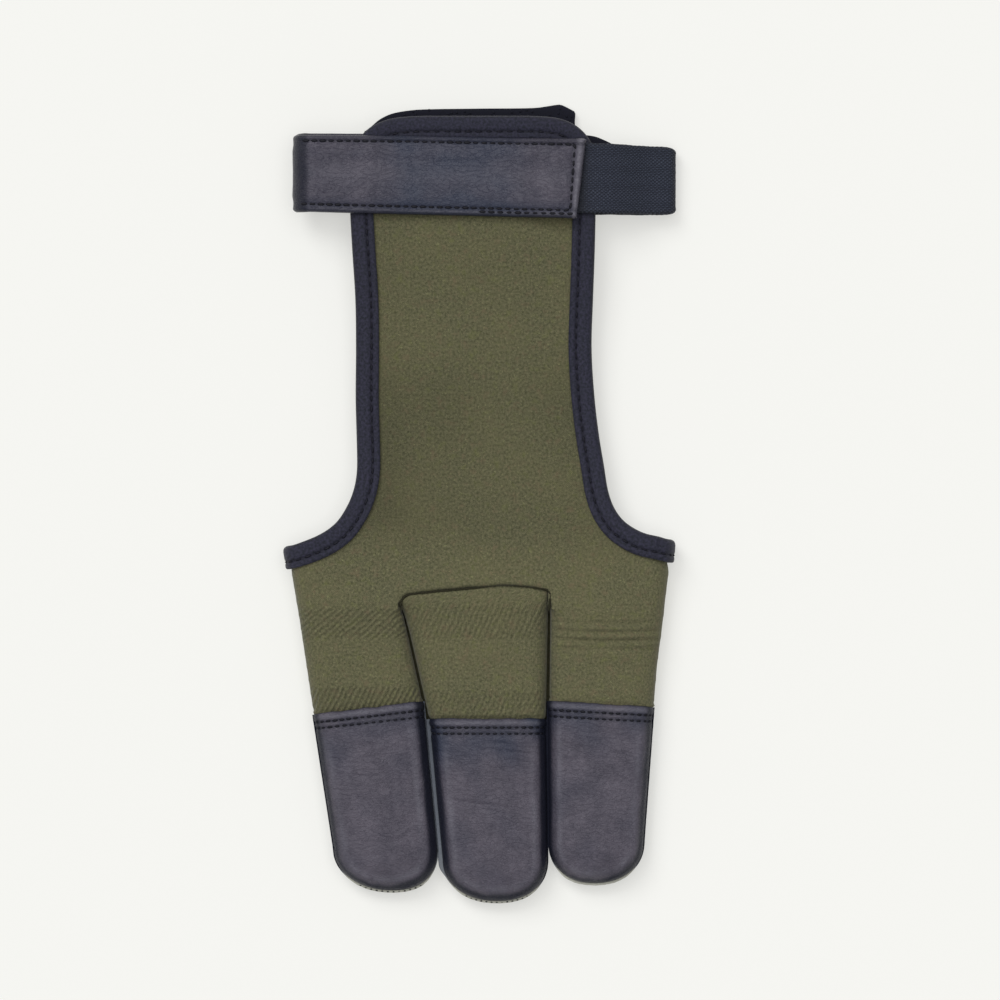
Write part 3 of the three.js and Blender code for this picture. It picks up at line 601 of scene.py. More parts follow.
def make_middle_sleeve():
    finger = FINGERS["middle"]
    arch_across, arch_up = zip(*ARCH_ROWS[1:-1])
    length = finger["sleeve"] + SLEEVE_TUCK + WEB_ARCH
    rows = int(length / SLEEVE_STEP)
    columns = 2 * int(47 / SLEEVE_STEP)
    runs = np.linspace(0, length, rows)
    left, right = finger_sides(finger, "web")
    grids = []
    for wall in (0, CLOTH_WALL):
        grid = []
        for run in runs:
            along = run - WEB_ARCH
            inset = sleeve_inset(finger, along)
            section = finger_section(finger, along, inset + wall)
            spread = 0.9 * inset * ease((finger["sleeve"] + 1.2 - along) / 2)
            section["left"] -= spread
            section["right"] += spread
            ring = whole_ring(section, columns // 2 + 1)
            share_across = clamp((ring[:, 0] - left) / (right - left))
            top_y = np.interp(share_across, arch_across, arch_up) * WEB_ARCH - WEB_DEPTH + 0.25
            straight = -WEB_DEPTH - WEB_ARCH * 2.5
            share = clamp(run / (WEB_ARCH * 3.5))
            if share < 1:
                ring[:, 1] = mix(top_y, straight, share)
                ring[:, 0] = clamp(ring[:, 0], left + wall, right - wall)
            boxier = 1 - 0.78 * ease(1 - run / 10)
            half = (section["top"] - section["bottom"]) / 2
            off = (ring[:, 2] - SEAM_HEIGHT) / half
            dip = 1 - 0.09 * ease(1 - run / 1.2)
            ring[:, 2] = SEAM_HEIGHT + half * dip * np.sign(off) * np.abs(off) ** boxier
            grid.append(ring)
        grids.append(np.array(grid))
    outer, inner = grids
    x, y = outer[:, :, 0], outer[:, :, 1]
    upper = ease((outer[:, :, 2] - SEAM_HEIGHT) / 4)
    phase = (x - left) * 0.62 - y * 0.28
    depth = (sleeve_band(y, -28.0, -16.5) + sleeve_band(y, -51.5, -41.5)) * (0.35 + 0.65 * upper)
    flat = outer * FLAT
    push = upper * (0.28 * ripple(flat, (13, 17, 1), 21.3) + 0.05 * ripple(flat, (3, 4, 1), 31.9))
    push += 0.1 * depth * np.sin(phase * 2 * math.pi)
    outer += grid_normals(outer, loop=True) * push[:, :, None] * outward_sign(outer)
    outer[:, :, 2] = np.maximum(outer[:, :, 2], 0.03)
    points, faces, sources = shell(outer, inner, loop=True)
    cut = flat_cut(outer).reshape(-1, 3)[sources]
    # Painted shade in the seam valley along the sleeve's top rim.
    seam = np.repeat(ease(1 - runs / 0.8) * 0.95, outer.shape[1])[sources]
    return make_piece("middle_sleeve_cloth", points, faces, STRETCH_CLOTH, {
        "cut": cut, "rib_phase": phase.ravel()[sources], "rib_depth": 0.7 * depth.ravel()[sources],
        "seam": seam,
    })


def outward_sign(grid):
    """1 where the grid's own normals point out of the glove, else -1."""
    centre = grid.reshape(-1, 3).mean(axis=0)
    return 1.0 if (grid_normals(grid) * (grid - centre)).sum() > 0 else -1.0


middle_sleeve = fit(make_middle_sleeve(), "stretch_cloth", "middle_sleeve")

# FINGER STALLS
# Each finger ends in a stall of soft dark leather: a front and a back piece sewn together round
# the edge, turned, and pulled over the sleeve. Two rows of lockstitch hold each upper edge, and
# a pale raw edge of the lining shows round the tip.
STALL_STEP = 0.45
STITCH_ROWS = (2.4, 4.1)
STALL_PITCH = 2.0


def leather_group():
    """Fine leather grain: small pebbles, softer pores and shallow creases that run across."""
    group, start, end = new_group("leather_grain", {"Place": "Vector", "Grain": "Float", "Creases": "Float"},
                                  {"Height": "Float", "Tone": "Float", "Pores_And_Crease_Shade": "Float"})
    warp = node_into(group, "ShaderNodeTexNoise", {
        "Vector": start.outputs["Place"], "Scale": 0.9, "Detail": 2.0,
    })
    moved = node_into(
        group, "ShaderNodeVectorMath", {0: start.outputs["Place"], 1: warp.outputs["Color"]},
        operation="ADD",
    )
    size = node_into(group, "ShaderNodeVectorMath", {0: moved.outputs[0]}, operation="SCALE")
    group.links.new(start.outputs["Grain"], size.inputs["Scale"])
    pebbles = node_into(group, "ShaderNodeTexVoronoi", {
        "Vector": size.outputs[0], "Scale": 1.0,
    }, feature="SMOOTH_F1")
    pebbles.inputs["Smoothness"].default_value = 0.6
    pores = noise_into(group, size.outputs[0], 3.1, 3.0, 0.6)
    stretch = node_into(group, "ShaderNodeMapping", {
        "Vector": start.outputs["Place"], "Scale": (0.3, 0.72, 1.0),
    })
    creases = noise_into(group, stretch.outputs[0], 1.0, 3.0, 0.55)
    folded = maths(group, "ABSOLUTE", maths(group, "SUBTRACT", creases, 0.5))
    line = remap(group, folded, 0.0, 0.035, -0.9, 0.0)
    grain = maths(
        group, "ADD", maths(group, "MULTIPLY", pebbles.outputs[0], -0.8),
        maths(group, "MULTIPLY", pores, 0.8),
    )
    folds = maths(group, "MULTIPLY", line, start.outputs["Creases"])
    group.links.new(maths(group, "ADD", grain, folds), end.inputs["Height"])
    # Pores and crease lines for the colour: the pores darken it as the grain's own colour, the crease lines
    # as painted shade.
    pits = remap(group, grain, 0.25, -0.25)
    group.links.new(maths(group, "SUBTRACT", pits, maths(group, "MULTIPLY", folds, 0.6)), end.inputs["Pores_And_Crease_Shade"])
    shade = noise_into(group, moved.outputs[0], 0.13, 6.0, 0.66)
    tone = remap(group, shade, 0.3, 0.7)
    group.links.new(tone, end.inputs["Tone"])
    return group


LEATHER = leather_group()
COOL_SHADE = dye(50, 55, 72)


def leather_material(name, dark, light, edge, highlight_colour, roughness, grain, creases):
    """Dyed leather: darker in its pores, with painted shade in its folds and along its edges, and painted
    highlights on raised ridges and in small flecks.
    """
    material, tree, finish = new_material(name)
    hide = node_into(tree, "ShaderNodeGroup", {}, node_tree=LEATHER)
    tree.links.new(read_cut(tree), hide.inputs["Place"])
    hide.inputs["Grain"].default_value = grain
    hide.inputs["Creases"].default_value = creases
    shade = blend_colours(tree, hide.outputs["Tone"], dark, light)
    cool = painted(tree, "cool")
    shade = blend_colours(tree, cool, shade, COOL_SHADE)
    shade = blend_colours(tree, maths(tree, "MULTIPLY", hide.outputs["Pores_And_Crease_Shade"], 0.15), shade, edge)
    # Painted highlight: small pale glints scattered over the grain.
    glint = noise_into(tree, read_cut(tree), 1.7, 2.0, 0.6)
    fleck = remap(tree, glint, 0.62, 0.76, end=0.55)
    shade = blend_colours(tree, fleck, shade, highlight_colour)
    # Painted highlights from the pale value, on raised ridges and lips.
    painted_highlight = painted(tree, "pale")
    shade = blend_colours(tree, painted_highlight, shade, highlight_colour)
    # Painted shade from the edge value: along rounded edges and folds, and in stitch channels.
    fold = painted(tree, "edge")
    tree.links.new(blend_colours(tree, fold, shade, edge), finish.inputs["Base Color"])
    tree.links.new(
        remap(tree, hide.outputs["Tone"], start=roughness + 0.05, end=roughness - 0.06),
        finish.inputs["Roughness"],
    )
    finish.inputs["Specular IOR Level"].default_value = 0.3
    emboss(tree, finish, hide.outputs["Height"], 0.8, 0.2)
    return material


def plain_material(name, shade, other, roughness, scale=1.5):
    """Thread, raw edges and pile: two close shades in fine noise, with a fibrous surface."""
    material, tree, finish = new_material(name)
    place = node_into(tree, "ShaderNodeTexCoord", {}).outputs["Object"]
    fibres = noise_into(tree, place, scale / MM, 3.0, 0.7)
    tree.links.new(blend_colours(tree, fibres, shade, other), finish.inputs["Base Color"])
    tree.links.new(
        remap(tree, fibres, start=roughness - 0.1, end=roughness + 0.1), finish.inputs["Roughness"],
    )
    finish.inputs["Specular IOR Level"].default_value = 0.25
    emboss(tree, finish, fibres, 0.4, 0.1)
    return material


STALL_LEATHER = leather_material(
    "stall_leather", dye(67, 64, 75), dye(91, 86, 97), dye(20, 23, 37), dye(112, 111, 121), 0.46, 1.5,
    0.5,
)
BLACK_THREAD = plain_material("black_thread", dye(3, 4, 12), dye(14, 15, 28), 0.6, 3.0)


def stitch_tree():
    """Stitches along an edge chain: each one lies along it, flat on the surface it sews."""
    tree = bpy.data.node_groups.new("stitch_row", "GeometryNodeTree")
    face = tree.interface
    face.new_socket("Line", in_out="INPUT", socket_type="NodeSocketGeometry")
    for label in ("Pitch", "Length", "Width", "Height", "Unevenness"):
        face.new_socket(label, in_out="INPUT", socket_type="NodeSocketFloat")
    face.new_socket("Thread", in_out="INPUT", socket_type="NodeSocketMaterial")
    face.new_socket("Stitches", in_out="OUTPUT", socket_type="NodeSocketGeometry")
    start, end = tree.nodes.new("NodeGroupInput"), tree.nodes.new("NodeGroupOutput")
    curve = node_into(tree, "GeometryNodeMeshToCurve", {"Mesh": start.outputs["Line"]})
    spaced = node_into(tree, "GeometryNodeResampleCurve", {
        "Curve": curve.outputs[0], "Length": start.outputs["Pitch"],
    }, mode="LENGTH")
    up = node_into(tree, "GeometryNodeInputNamedAttribute", {"Name": "up"}, data_type="FLOAT_VECTOR")
    tangent = node_into(tree, "GeometryNodeInputTangent")
    turn = node_into(tree, "FunctionNodeAxesToRotation", {
        "Primary Axis": tangent.outputs[0], "Secondary Axis": up.outputs[0],
    }, primary_axis="X", secondary_axis="Z")
    size = node_into(tree, "ShaderNodeCombineXYZ", {
        "X": start.outputs["Length"], "Y": start.outputs["Width"], "Z": start.outputs["Height"],
    })
    uneven = node_into(tree, "FunctionNodeRandomValue", {"Seed": 11}, data_type="FLOAT")
    low = node_into(tree, "ShaderNodeMath", {0: 1.0, 1: start.outputs["Unevenness"]}, operation="SUBTRACT")
    high = node_into(tree, "ShaderNodeMath", {0: 1.0, 1: start.outputs["Unevenness"]}, operation="ADD")
    tree.links.new(low.outputs[0], uneven.inputs[2])
    tree.links.new(high.outputs[0], uneven.inputs[3])
    varied = node_into(tree, "ShaderNodeVectorMath", {0: size.outputs[0]}, operation="SCALE")
    tree.links.new(uneven.outputs[1], varied.inputs["Scale"])
    thread = node_into(tree, "GeometryNodeMeshUVSphere", {"Segments": 6, "Rings": 5, "Radius": 0.5})
    sewn = node_into(tree, "GeometryNodeInstanceOnPoints", {
        "Points": spaced.outputs[0], "Instance": thread.outputs[0],
        "Rotation": turn.outputs[0], "Scale": varied.outputs[0],
    })
    real = node_into(tree, "GeometryNodeRealizeInstances", {"Geometry": sewn.outputs[0]})
    smooth = node_into(tree, "GeometryNodeSetShadeSmooth", {"Geometry": real.outputs[0]})
    dyed = node_into(tree, "GeometryNodeSetMaterial", {
        "Geometry": smooth.outputs[0], "Material": start.outputs["Thread"],
    })
    tree.links.new(dyed.outputs[0], end.inputs["Stitches"])
    return tree


STITCH_TREE = stitch_tree()


def made_plain(carrier, tree, name, values):
    """The carrier after the tree has run on it with these inputs, as a plain mesh object."""
    modifier = carrier.modifiers.new(name, "NODES")
    modifier.node_group = tree
    for socket in tree.interface.items_tree:
        if socket.in_out == "INPUT" and socket.name in values:
            modifier[socket.identifier] = values[socket.name]
    bpy.context.view_layer.update()
    mesh = bpy.data.meshes.new_from_object(carrier.evaluated_get(bpy.context.evaluated_depsgraph_get()))
    bpy.data.objects.remove(carrier)
    mesh.name = name
    return put_in_scene(name, mesh)


def sew(name, lines, pitch, length, width, slot, thread=BLACK_THREAD, height=0.3, unevenness=0.15):
    """Rows of stitches along (points, ups) lines in millimetres."""
    points = np.concatenate([line[0] for line in lines])
    ups = np.concatenate([line[1] for line in lines]).astype(np.float32)
    edges = []
    for line in lines:
        first = edges[-1][1] + 1 if edges else 0
        edges += [(first + step, first + step + 1) for step in range(len(line[0]) - 1)]
    mesh = bpy.data.meshes.new(name + "_line")
    mesh.from_pydata(((points + SHIFT) * MM).tolist(), edges, [])
    mesh.attributes.new("up", "FLOAT_VECTOR", "POINT").data.foreach_set("vector", ups.ravel())
    carrier = put_in_scene(name + "_line", mesh)
    stitches = made_plain(carrier, STITCH_TREE, name, {
        "Pitch": pitch * MM, "Length": length * MM, "Width": width * MM, "Height": height * MM,
        "Unevenness": unevenness, "Thread": thread,
    })
    return fit(stitches, slot)


def stall_runs(finger):
    """Distances along the finger from the leather's edge to its tip, closer round the cap."""
    straight = finger["stall"] * (1 - CAP_SHARE)
    runs = list(np.linspace(0, straight, int(straight / STALL_STEP)))
    turns = np.linspace(0, math.pi / 2, 30)[1:]
    return np.array(runs + list(straight + finger["stall"] * CAP_SHARE * np.sin(turns)))


def stall_grid(finger, front, inset):
    straight = finger["stall"] * (1 - CAP_SHARE)
    grid = []
    for run in stall_runs(finger):
        cap = clamp((run - straight) / (finger["stall"] * CAP_SHARE))
        along = finger["sleeve"] + min(run, straight) + cap * (finger["stall"] * CAP_SHARE - inset)
        section = finger_section(finger, max(along, finger["sleeve"] + 1e-6), inset)
        ring = half_ring(section, 92, upper=front)
        middle = (section["top"] - section["crown"] + section["bottom"]) / 2
        level = middle + (0.12 if front else -0.12)
        ring[:, 2] = np.maximum(ring[:, 2], level) if front else np.minimum(ring[:, 2], level)
        grid.append(ring)
    return np.array(grid)


STALL_CREASES = {
    "index": ((19.0, -6.0, 9.0, 0.16), (14.5, 4.0, 7.0, 0.14), (8.6, 3.0, 8.0, 0.12)),
    "middle": (
        (24.3, -5.0, 8.0, 0.45), (26.2, -2.0, 6.0, 0.25), (9.5, 7.0, 7.0, 0.4), (12.0, 8.5, 5.5, 0.34),
        (7.2, 5.0, 6.0, 0.34), (14.4, 4.0, 6.0, 0.2), (18.0, 7.0, 5.0, 0.16),
    ),
    "ring": ((13.5, 2.0, 8.0, 0.14), (21.0, -3.0, 7.0, 0.14), (8.2, -2.0, 8.0, 0.12)),
}


# Widths in mm of the painted shade band along the left and right edge of each stall.
SHADE_BANDS = {"index": (2.1, 3.0), "middle": (2.5, 2.6), "ring": (1.7, 2.3)}


def outline_distance(grid):
    """How far each point of a stall lies inside its outline, seen from straight above."""
    rim = np.concatenate([grid[:, 0, :2], grid[::-1, -1, :2]])
    return distance_to(rim, grid[:, :, :2].reshape(-1, 2)).reshape(grid.shape[:2])


def worked_leather(name, grid, front):
    """How far the leather stands off its plain form: stitch channels, creases and soft dents."""
    runs = stall_runs(FINGERS[name])[:, None]
    across = flat_cut(grid)[:, :, 0]
    seed = 40.0 + 7 * list(FINGERS).index(name) + (0 if front else 50)
    flat = grid * FLAT
    dents = 0.3 * ripple(flat, (12, 18, 1), seed) + 0.09 * ripple(flat, (5, 5, 1), seed + 1)
    creases = (
        0.14 * ripple(flat, (6, 1.1, 1), seed + 2) + 0.05 * ripple(flat, (1.6, 1.2, 1), seed + 3)
    ) * ease(1.2 - runs / 30)
    for run, centre, half, depth in STALL_CREASES[name] if front else ():
        bent = runs - run - 0.9 * np.sin((across - centre) / half * 1.3)
        creases = creases - depth * ridge(bent, 0.45) * ease(1.3 - np.abs(across - centre) / half)
    channel = sum(ridge(runs - row, 0.5) for row in STITCH_ROWS)
    lip = 0.16 * ridge(runs - 1.2, 0.9) - 0.2 * ridge(runs, 0.35)
    seam_side = np.minimum(across - across[:, :1], across[:, -1:] - across)
    calm = ease(seam_side / 3.0)
    rolled = (
        0.12 * ridge(outline_distance(grid) - 2.9, 1.1) - 0.12 * ridge(outline_distance(grid) - 1.2, 0.7)
    ) * ease(runs / 6)
    tip = ease((runs[-1] - runs) / 2.5)
    return ((dents + creases) * calm + lip - 0.24 * channel + rolled) * tip


for finger_name, finger in FINGERS.items():
    for face_name, front in (("front", True), ("back", False)):
        outer = stall_grid(finger, front, 0)
        sign = outward_sign(outer)
        normals = grid_normals(outer) * sign
        push = worked_leather(finger_name, outer, front)
        outer = outer + normals * push[:, :, None]
        if not front:
            outer[:, :, 2] = np.maximum(outer[:, :, 2], 0.02)
        inner = stall_grid(finger, front, LEATHER_WALL)
        waver = 0.28 * ripple(
            outer[:1] * np.array([1, 0, 0]), (3.5, 1, 1), 65.0,
        ) * ease(1 - stall_runs(finger) / 1.6)[:, None]
        outer[:, :, 1] += waver
        inner[:, :, 1] += waver
        points, faces, sources = shell(outer, inner, bulge=0.25)
        cut = flat_cut(outer)
        near = outline_distance(outer)
        # Painted shade: the edge value darkens a band along the outline, where the leather rounds over, and
        # the stitch channels. Painted highlight: the pale value lightens a ridge inside that band and the lip
        # above the first stitch row.
        on_right = ease((outer[:, :, 0] - outer[:, :, 0].mean(axis=1, keepdims=True)) / 6)
        left_band, right_band = SHADE_BANDS[finger_name]
        shade_band = mix(left_band, right_band, on_right)
        uneven = 0.35 * ripple(outer * FLAT, (2.5, 9, 1), 55.0)
        edge = ease((shade_band + uneven - near) / 1.3) * 0.92
        channel = sum(ridge(stall_runs(finger) - row, 0.6) for row in STITCH_ROWS)[:, None] * 0.6
        edge = np.maximum(edge, channel)
        below_rows = ease((stall_runs(finger)[:, None] - 5) / 4)
        pale = 0.34 * ridge(near - shade_band - 1.1, 0.9) * below_rows * clamp(0.7 + 3 * uneven)
        pale = np.maximum(pale, 0.35 * ridge(stall_runs(finger)[:, None] - 1.1, 0.6) + 0 * near)
        # The cool value makes the leather bluer and darker towards the top of each stall, most on the middle
        # one, in soft clouds.
        clouds = ripple(outer * FLAT, (9, 11, 1), 58.0)
        top_share = {"index": 0.35, "middle": 0.8, "ring": 0.3}[finger_name]
        cool = top_share * ease((20 - stall_runs(finger)[:, None]) / 16) * (0.8 + clouds) + 0.3 * clouds
        name = f"{finger_name}_stall_{face_name}"
        cut = cut + np.array([60.0 * finger["side"], 0, 0 if front else 90.0])
        stall = make_piece(name + "_leather", points, faces, STALL_LEATHER, {
            "cut": cut.reshape(-1, 3)[sources], "edge": edge.ravel()[sources],
            "pale": clamp(pale).ravel()[sources],
            "cool": clamp(cool).ravel()[sources],
        })
        fit(stall, "stall_leather", name)
        runs = stall_runs(finger)
        lines = []
        for row in STITCH_ROWS:
            nearest = int(np.argmin(np.abs(runs - row)))
            span = slice(7, -7)
            trail = outer[nearest, span] + normals[nearest, span] * (0.06 if front else -0.05)
            trail[:, 2] = np.maximum(trail[:, 2], 0.27)
            lines.append((trail, normals[nearest, span]))
        sew(name + "_stitches", lines, STALL_PITCH, 1.55, 0.78, "stall_leather", height=0.5, unevenness=0.2)

# SEAM STRIPS AND WELTS
# Between the front and the back of each stall runs the raw edge of the lining, left wider on the
# side that faces the next finger and pale round the tip, where the overcast thread crosses it.
# Along the sides its colour is painted shade of the gap between the fingers. Two narrow cloth
# welts close the webs and join the sleeves low down between the fingers, and painted shade
# darkens them there.
STRIP_TIP = 0.7
STRIP_SIDE = 0.25


def strip_material():
    material, tree, finish = new_material("raw_lining_edge")
    place = node_into(tree, "ShaderNodeTexCoord", {}).outputs["Object"]
    fibres = noise_into(tree, place, 1.3 / MM, 4.0, 0.75)
    # Dark and grey are painted shade for the strip where it fills the gap between the fingers; pale is the
    # raw edge round the tip.
    dark = blend_colours(tree, fibres, dye(12, 14, 26), dye(30, 33, 46))
    grey = blend_colours(tree, fibres, dye(84, 89, 98), dye(118, 123, 131))
    pale = blend_colours(tree, fibres, dye(150, 150, 136), dye(214, 213, 202))
    share = painted(tree, "shade_to_raw_edge")
    lower = remap(tree, share, high=0.5)
    upper = remap(tree, share, 0.5)
    tone_and_shade = blend_colours(tree, lower, dark, grey)
    tree.links.new(blend_colours(tree, upper, tone_and_shade, pale), finish.inputs["Base Color"])
    tree.links.new(remap(tree, fibres, start=0.8, end=0.95), finish.inputs["Roughness"])
    finish.inputs["Specular IOR Level"].default_value = 0.15
    emboss(tree, finish, fibres, 0.6, 0.12)
    return material


LINING_EDGE = strip_material()


def strip_widths(finger, runs, side):
    """How far the strip stands out of the leather, along the left (-1) or right (1) side."""
    straight = finger["stall"] * (1 - CAP_SHARE)
    facing = {(0, -1): -1, (1, -1): 1}.get((finger["side"], side))
    width = np.full(len(runs), STRIP_SIDE)
    if facing:
        gap = mix(SIDE_GAPS[facing]["join"], SIDE_GAPS[facing]["tip"], clamp(runs / straight))
        width = np.maximum(gap - 0.15, 0.2)
    return mix(
        mix(width, STRIP_SIDE, ease((runs - straight - 2) / 3)), STRIP_TIP,
        ease((runs - straight - 7) / 4),
    )


def make_strip(name, finger):
    runs = stall_runs(finger)
    grid = stall_grid(finger, True, 0)
    sides = []
    for side, column in ((-1, 0), (1, -1)):
        line = grid[:, column, :2]
        sides.append((line, strip_widths(finger, runs, side)))
    line = np.concatenate([sides[0][0], sides[1][0][::-1]])
    widths = np.concatenate([sides[0][1], sides[1][1][::-1]])
    along = np.concatenate([runs, runs[::-1]])
    for _ in range(3):
        line[1:-1] = (line[:-2] + 2 * line[1:-1] + line[2:]) / 4
        widths[1:-1] = (widths[:-2] + 2 * widths[1:-1] + widths[2:]) / 4
    ahead = np.gradient(line, axis=0)
    ahead /= np.linalg.norm(ahead, axis=1, keepdims=True)
    outward = np.stack([ahead[:, 1], -ahead[:, 0]], axis=1)
    outward *= np.sign((outward * (line - line.mean(axis=0))).sum())
    frayed = widths * (
        1 + 0.12 * ripple(np.column_stack([line, 0 * along]), (1.1, 1.1, 1), 90 + finger["side"])
    )
    level = SEAM_HEIGHT + 0.1
    profile = (
        (-0.9, 0.1), (0.05, 0.1), (0.45, 0.2), (0.9, 0.2), (1.0, 0.0), (0.9, -0.2), (0.45, -0.2),
        (0.05, -0.1), (-0.9, -0.1),
    )
    rings = []
    for share, height in profile:
        reach = frayed * share if share > 0.1 else np.full(len(line), share)
        rings.append(np.column_stack([line + outward * reach[:, None], np.full(len(line), level + height)]))
    rings = np.stack(rings, axis=1)
    flat = rings.reshape(-1, 3)
    faces = facing_out(flat, closed_loft(rings, joined=False))
    last = (len(rings) - 1) * len(profile)
    cap = list(range(len(profile)))
    turned = faces[0][1] < faces[0][0]
    faces.append(cap if turned else cap[::-1])
    faces.append([last + step for step in (cap[::-1] if turned else cap)])
    # Painted shade along the sides: dark, and in the gap between index and middle a grey that grows lighter
    # towards the tip; the tip itself is the pale raw edge.
    on_left = np.arange(len(along)) < len(runs)
    grey_side = {"index": ~on_left, "middle": on_left}.get(name, False)
    shade_to_raw_edge = np.where(grey_side, 0.3 + 0.3 * clamp(along / finger["stall"]), 0.0)
    shade_to_raw_edge = mix(shade_to_raw_edge, 0.95, ease((along - finger["stall"] * 0.86) / 4))
    strip = make_piece(f"{name}_stall_seam_strip", flat, faces, LINING_EDGE, {
        "shade_to_raw_edge": np.repeat(shade_to_raw_edge, len(profile)),
    })
    fit(strip, "stall_leather")
    tip = along > finger["stall"] * 0.965
    rim = np.column_stack([line + outward * (frayed * 0.6)[:, None], np.full(len(line), level + 0.2)])[tip]
    ups = np.tile((0.0, 0.0, 1.0), (len(rim), 1))
    if name != "ring":
        sew(
            f"{name}_stall_overcast", [(rim, ups)], 1.5, 0.6, 0.4, "stall_leather", height=0.25,
            unevenness=0.3,
        )


def make_welt(name, left_finger, right_finger, side):
    """Turned seam allowance low down between two sleeves, with a wider end under the web."""
    reach = max(FINGERS[left_finger]["sleeve"], FINGERS[right_finger]["sleeve"]) + 3
    rows, welt_shade = [], []
    for y in np.linspace(-WEB_DEPTH + 3.5, -WEB_DEPTH - reach, 90):
        share = clamp((-WEB_DEPTH - y) / FINGERS["middle"]["sleeve"])
        inner = mix(
            finger_sides(FINGERS[left_finger], "web")[1], finger_sides(FINGERS[left_finger], "join")[1],
            share,
        )
        outer = mix(
            finger_sides(FINGERS[right_finger], "web")[0], finger_sides(FINGERS[right_finger], "join")[0],
            share,
        )
        left, right = inner - 0.7, outer + 0.7
        web = ease((y + WEB_DEPTH + 5.0) / 5.5)
        left, right = (mix(left, inner - 4.4, web), mix(right, outer - 0.1, web)) if side < 0 else (
            mix(left, inner + 0.1, web), mix(right, outer + 4.4, web))
        across = np.linspace(0, 1, 9)
        row = np.column_stack(
            [mix(left, right, across), np.full(9, y), 2.75 - 0.25 * (1 - (2 * across - 1) ** 2)]
        )
        row[:, 2] = mix(row[:, 2], panel_top(y) + worked_cloth(row) - 0.25, web)
        rows.append(row)
        # Painted shade: the welt is darkened where it lies low down between the sleeves, not at its wider end
        # under the web.
        welt_shade += [0.5 * (1 - web)] * 9
    grid = np.array(rows)
    points, faces, sources = shell(grid, grid - np.array([0, 0, 0.5]))
    welt = make_piece(name, points, faces, STRETCH_CLOTH, {
        "cut": flat_cut(grid).reshape(-1, 3)[sources], "seam": np.array(welt_shade)[sources],
    })
    fit(welt, "stretch_cloth")


def smooth_line(points, step):
    """Centripetal curve through the points, cut into even steps."""
    points = np.array(points, float)
    padded = np.concatenate([[2 * points[0] - points[1]], points, [2 * points[-1] - points[-2]]])
    fine = []
    for index in range(1, len(padded) - 2):
        p = padded[index - 1:index + 3]
        knots = np.concatenate([[0], np.cumsum(np.linalg.norm(np.diff(p, axis=0), axis=1) ** 0.5)])
        for t in np.linspace(knots[1], knots[2], 24, endpoint=False):
            a = [mix(p[i], p[i + 1], (t - knots[i]) / (knots[i + 1] - knots[i])) for i in range(3)]
            b = [mix(a[i], a[i + 1], (t - knots[i]) / (knots[i + 2] - knots[i])) for i in range(2)]
            fine.append(mix(b[0], b[1], (t - knots[1]) / (knots[2] - knots[1])))
    fine = np.array(fine + [points[-1]])
    length = run_along(fine)
    even = np.linspace(0, length[-1], int(length[-1] / step) + 1)
    return np.stack([np.interp(even, length, fine[:, axis]) for axis in range(fine.shape[1])], axis=1)


for finger_name, finger in FINGERS.items():
    make_strip(finger_name, finger)
make_welt("index_web_welt", "index", "middle", -1)
make_welt("ring_web_welt", "middle", "ring", 1)

arch = arch_line()
arch[[0, -1], 1] += 0.4 * WEB_ARCH
arch = smooth_line(arch, 0.6)
wander = [0.12 * ripple(np.column_stack([arch, arch[:, 0]]), (1.7, 1.7, 1), seed) for seed in (15, 16)]
arch = arch + np.column_stack(wander)
arch_level = panel_top(arch[:, 1]) + panel_ease(arch[:, 1]) + worked_cloth(
    np.column_stack([arch, 0 * arch[:, 0]])
) - 0.4
ARCH_THREAD = plain_material("arch_seam_thread", dye(22, 21, 10), dye(52, 50, 32), 0.85, 3.0)
arch_lines = [(np.column_stack([arch, arch_level]), np.tile((0.0, 0.0, 1.0), (len(arch), 1)))]
sew("middle_sleeve_seam_thread", arch_lines, 1.15, 1.5, 0.6, "stretch_cloth", ARCH_THREAD, 0.5, 0.3)

# EDGE BINDING
# A folded tape that wraps the raw rim of the panel all the way round: up both sides, over the
# wrist end, and round the hidden mouth. It is sewn through close to its inner edge, and the
# stitches pull a channel into it; painted shade darkens that channel and the tape's outer fold.
BINDING_WALL = 1.0
BINDING_WIDTH = 7.0
WAIST = {"left": 34.7, "right": 30.9}
MOUTH_SCOOP = 3.0
CORNER_HEIGHT = {"left": -0.01, "right": 0.005}
LEFT_EDGE = (
    (1.05, 0.908), (1.05, 0.8), (1.03, 0.69), (1.005, 0.575), (1, 0.458), (1.003, 0.341), (0.994, 0.247),
    (0.991, 0.174), (1.009, 0.137), (1.052, 0.1), (1.098, 0.076), (1.155, 0.051), (1.255, 0.027),
    (1.385, 0.008),
)
RIGHT_EDGE = (
    (1.01, 0.908), (1.035, 0.8), (1.029, 0.692), (1.013, 0.575), (1, 0.458), (1.029, 0.341), (1.074, 0.247),
    (1.123, 0.174), (1.142, 0.139), (1.168, 0.112), (1.21, 0.084), (1.304, 0.051), (1.417, 0.031),
    (1.54, 0.017),
)
WRIST_CORNER = ((1.026, 0.921), (0.99, 0.943), (0.89, 0.971), (0.74, 0.989), (0.5, 0.9955))
MOUTH_FLARE = {"left": 2.7, "right": 2.0}
PANEL_SIDES = (finger_sides(FINGERS["index"], "web")[0], finger_sides(FINGERS["ring"], "web")[1])
TAPE_STEP = 1.1
TAPE_PITCH = 3.0


def panel_section(y, inset):
    down = clamp(1 + y / WEB_DEPTH)
    bottom = MOUTH_LIFT * clamp((y + WEB_DEPTH) / (WEB_DEPTH - 10.3))
    return dict(
        left=PANEL_SIDES[0] - MOUTH_FLARE["left"] * down + inset,
        right=PANEL_SIDES[1] + MOUTH_FLARE["right"] * down - inset,
        bottom=bottom + inset, top=panel_top(y) + panel_ease(y) - inset, crown=HAND_CROWN,
    )


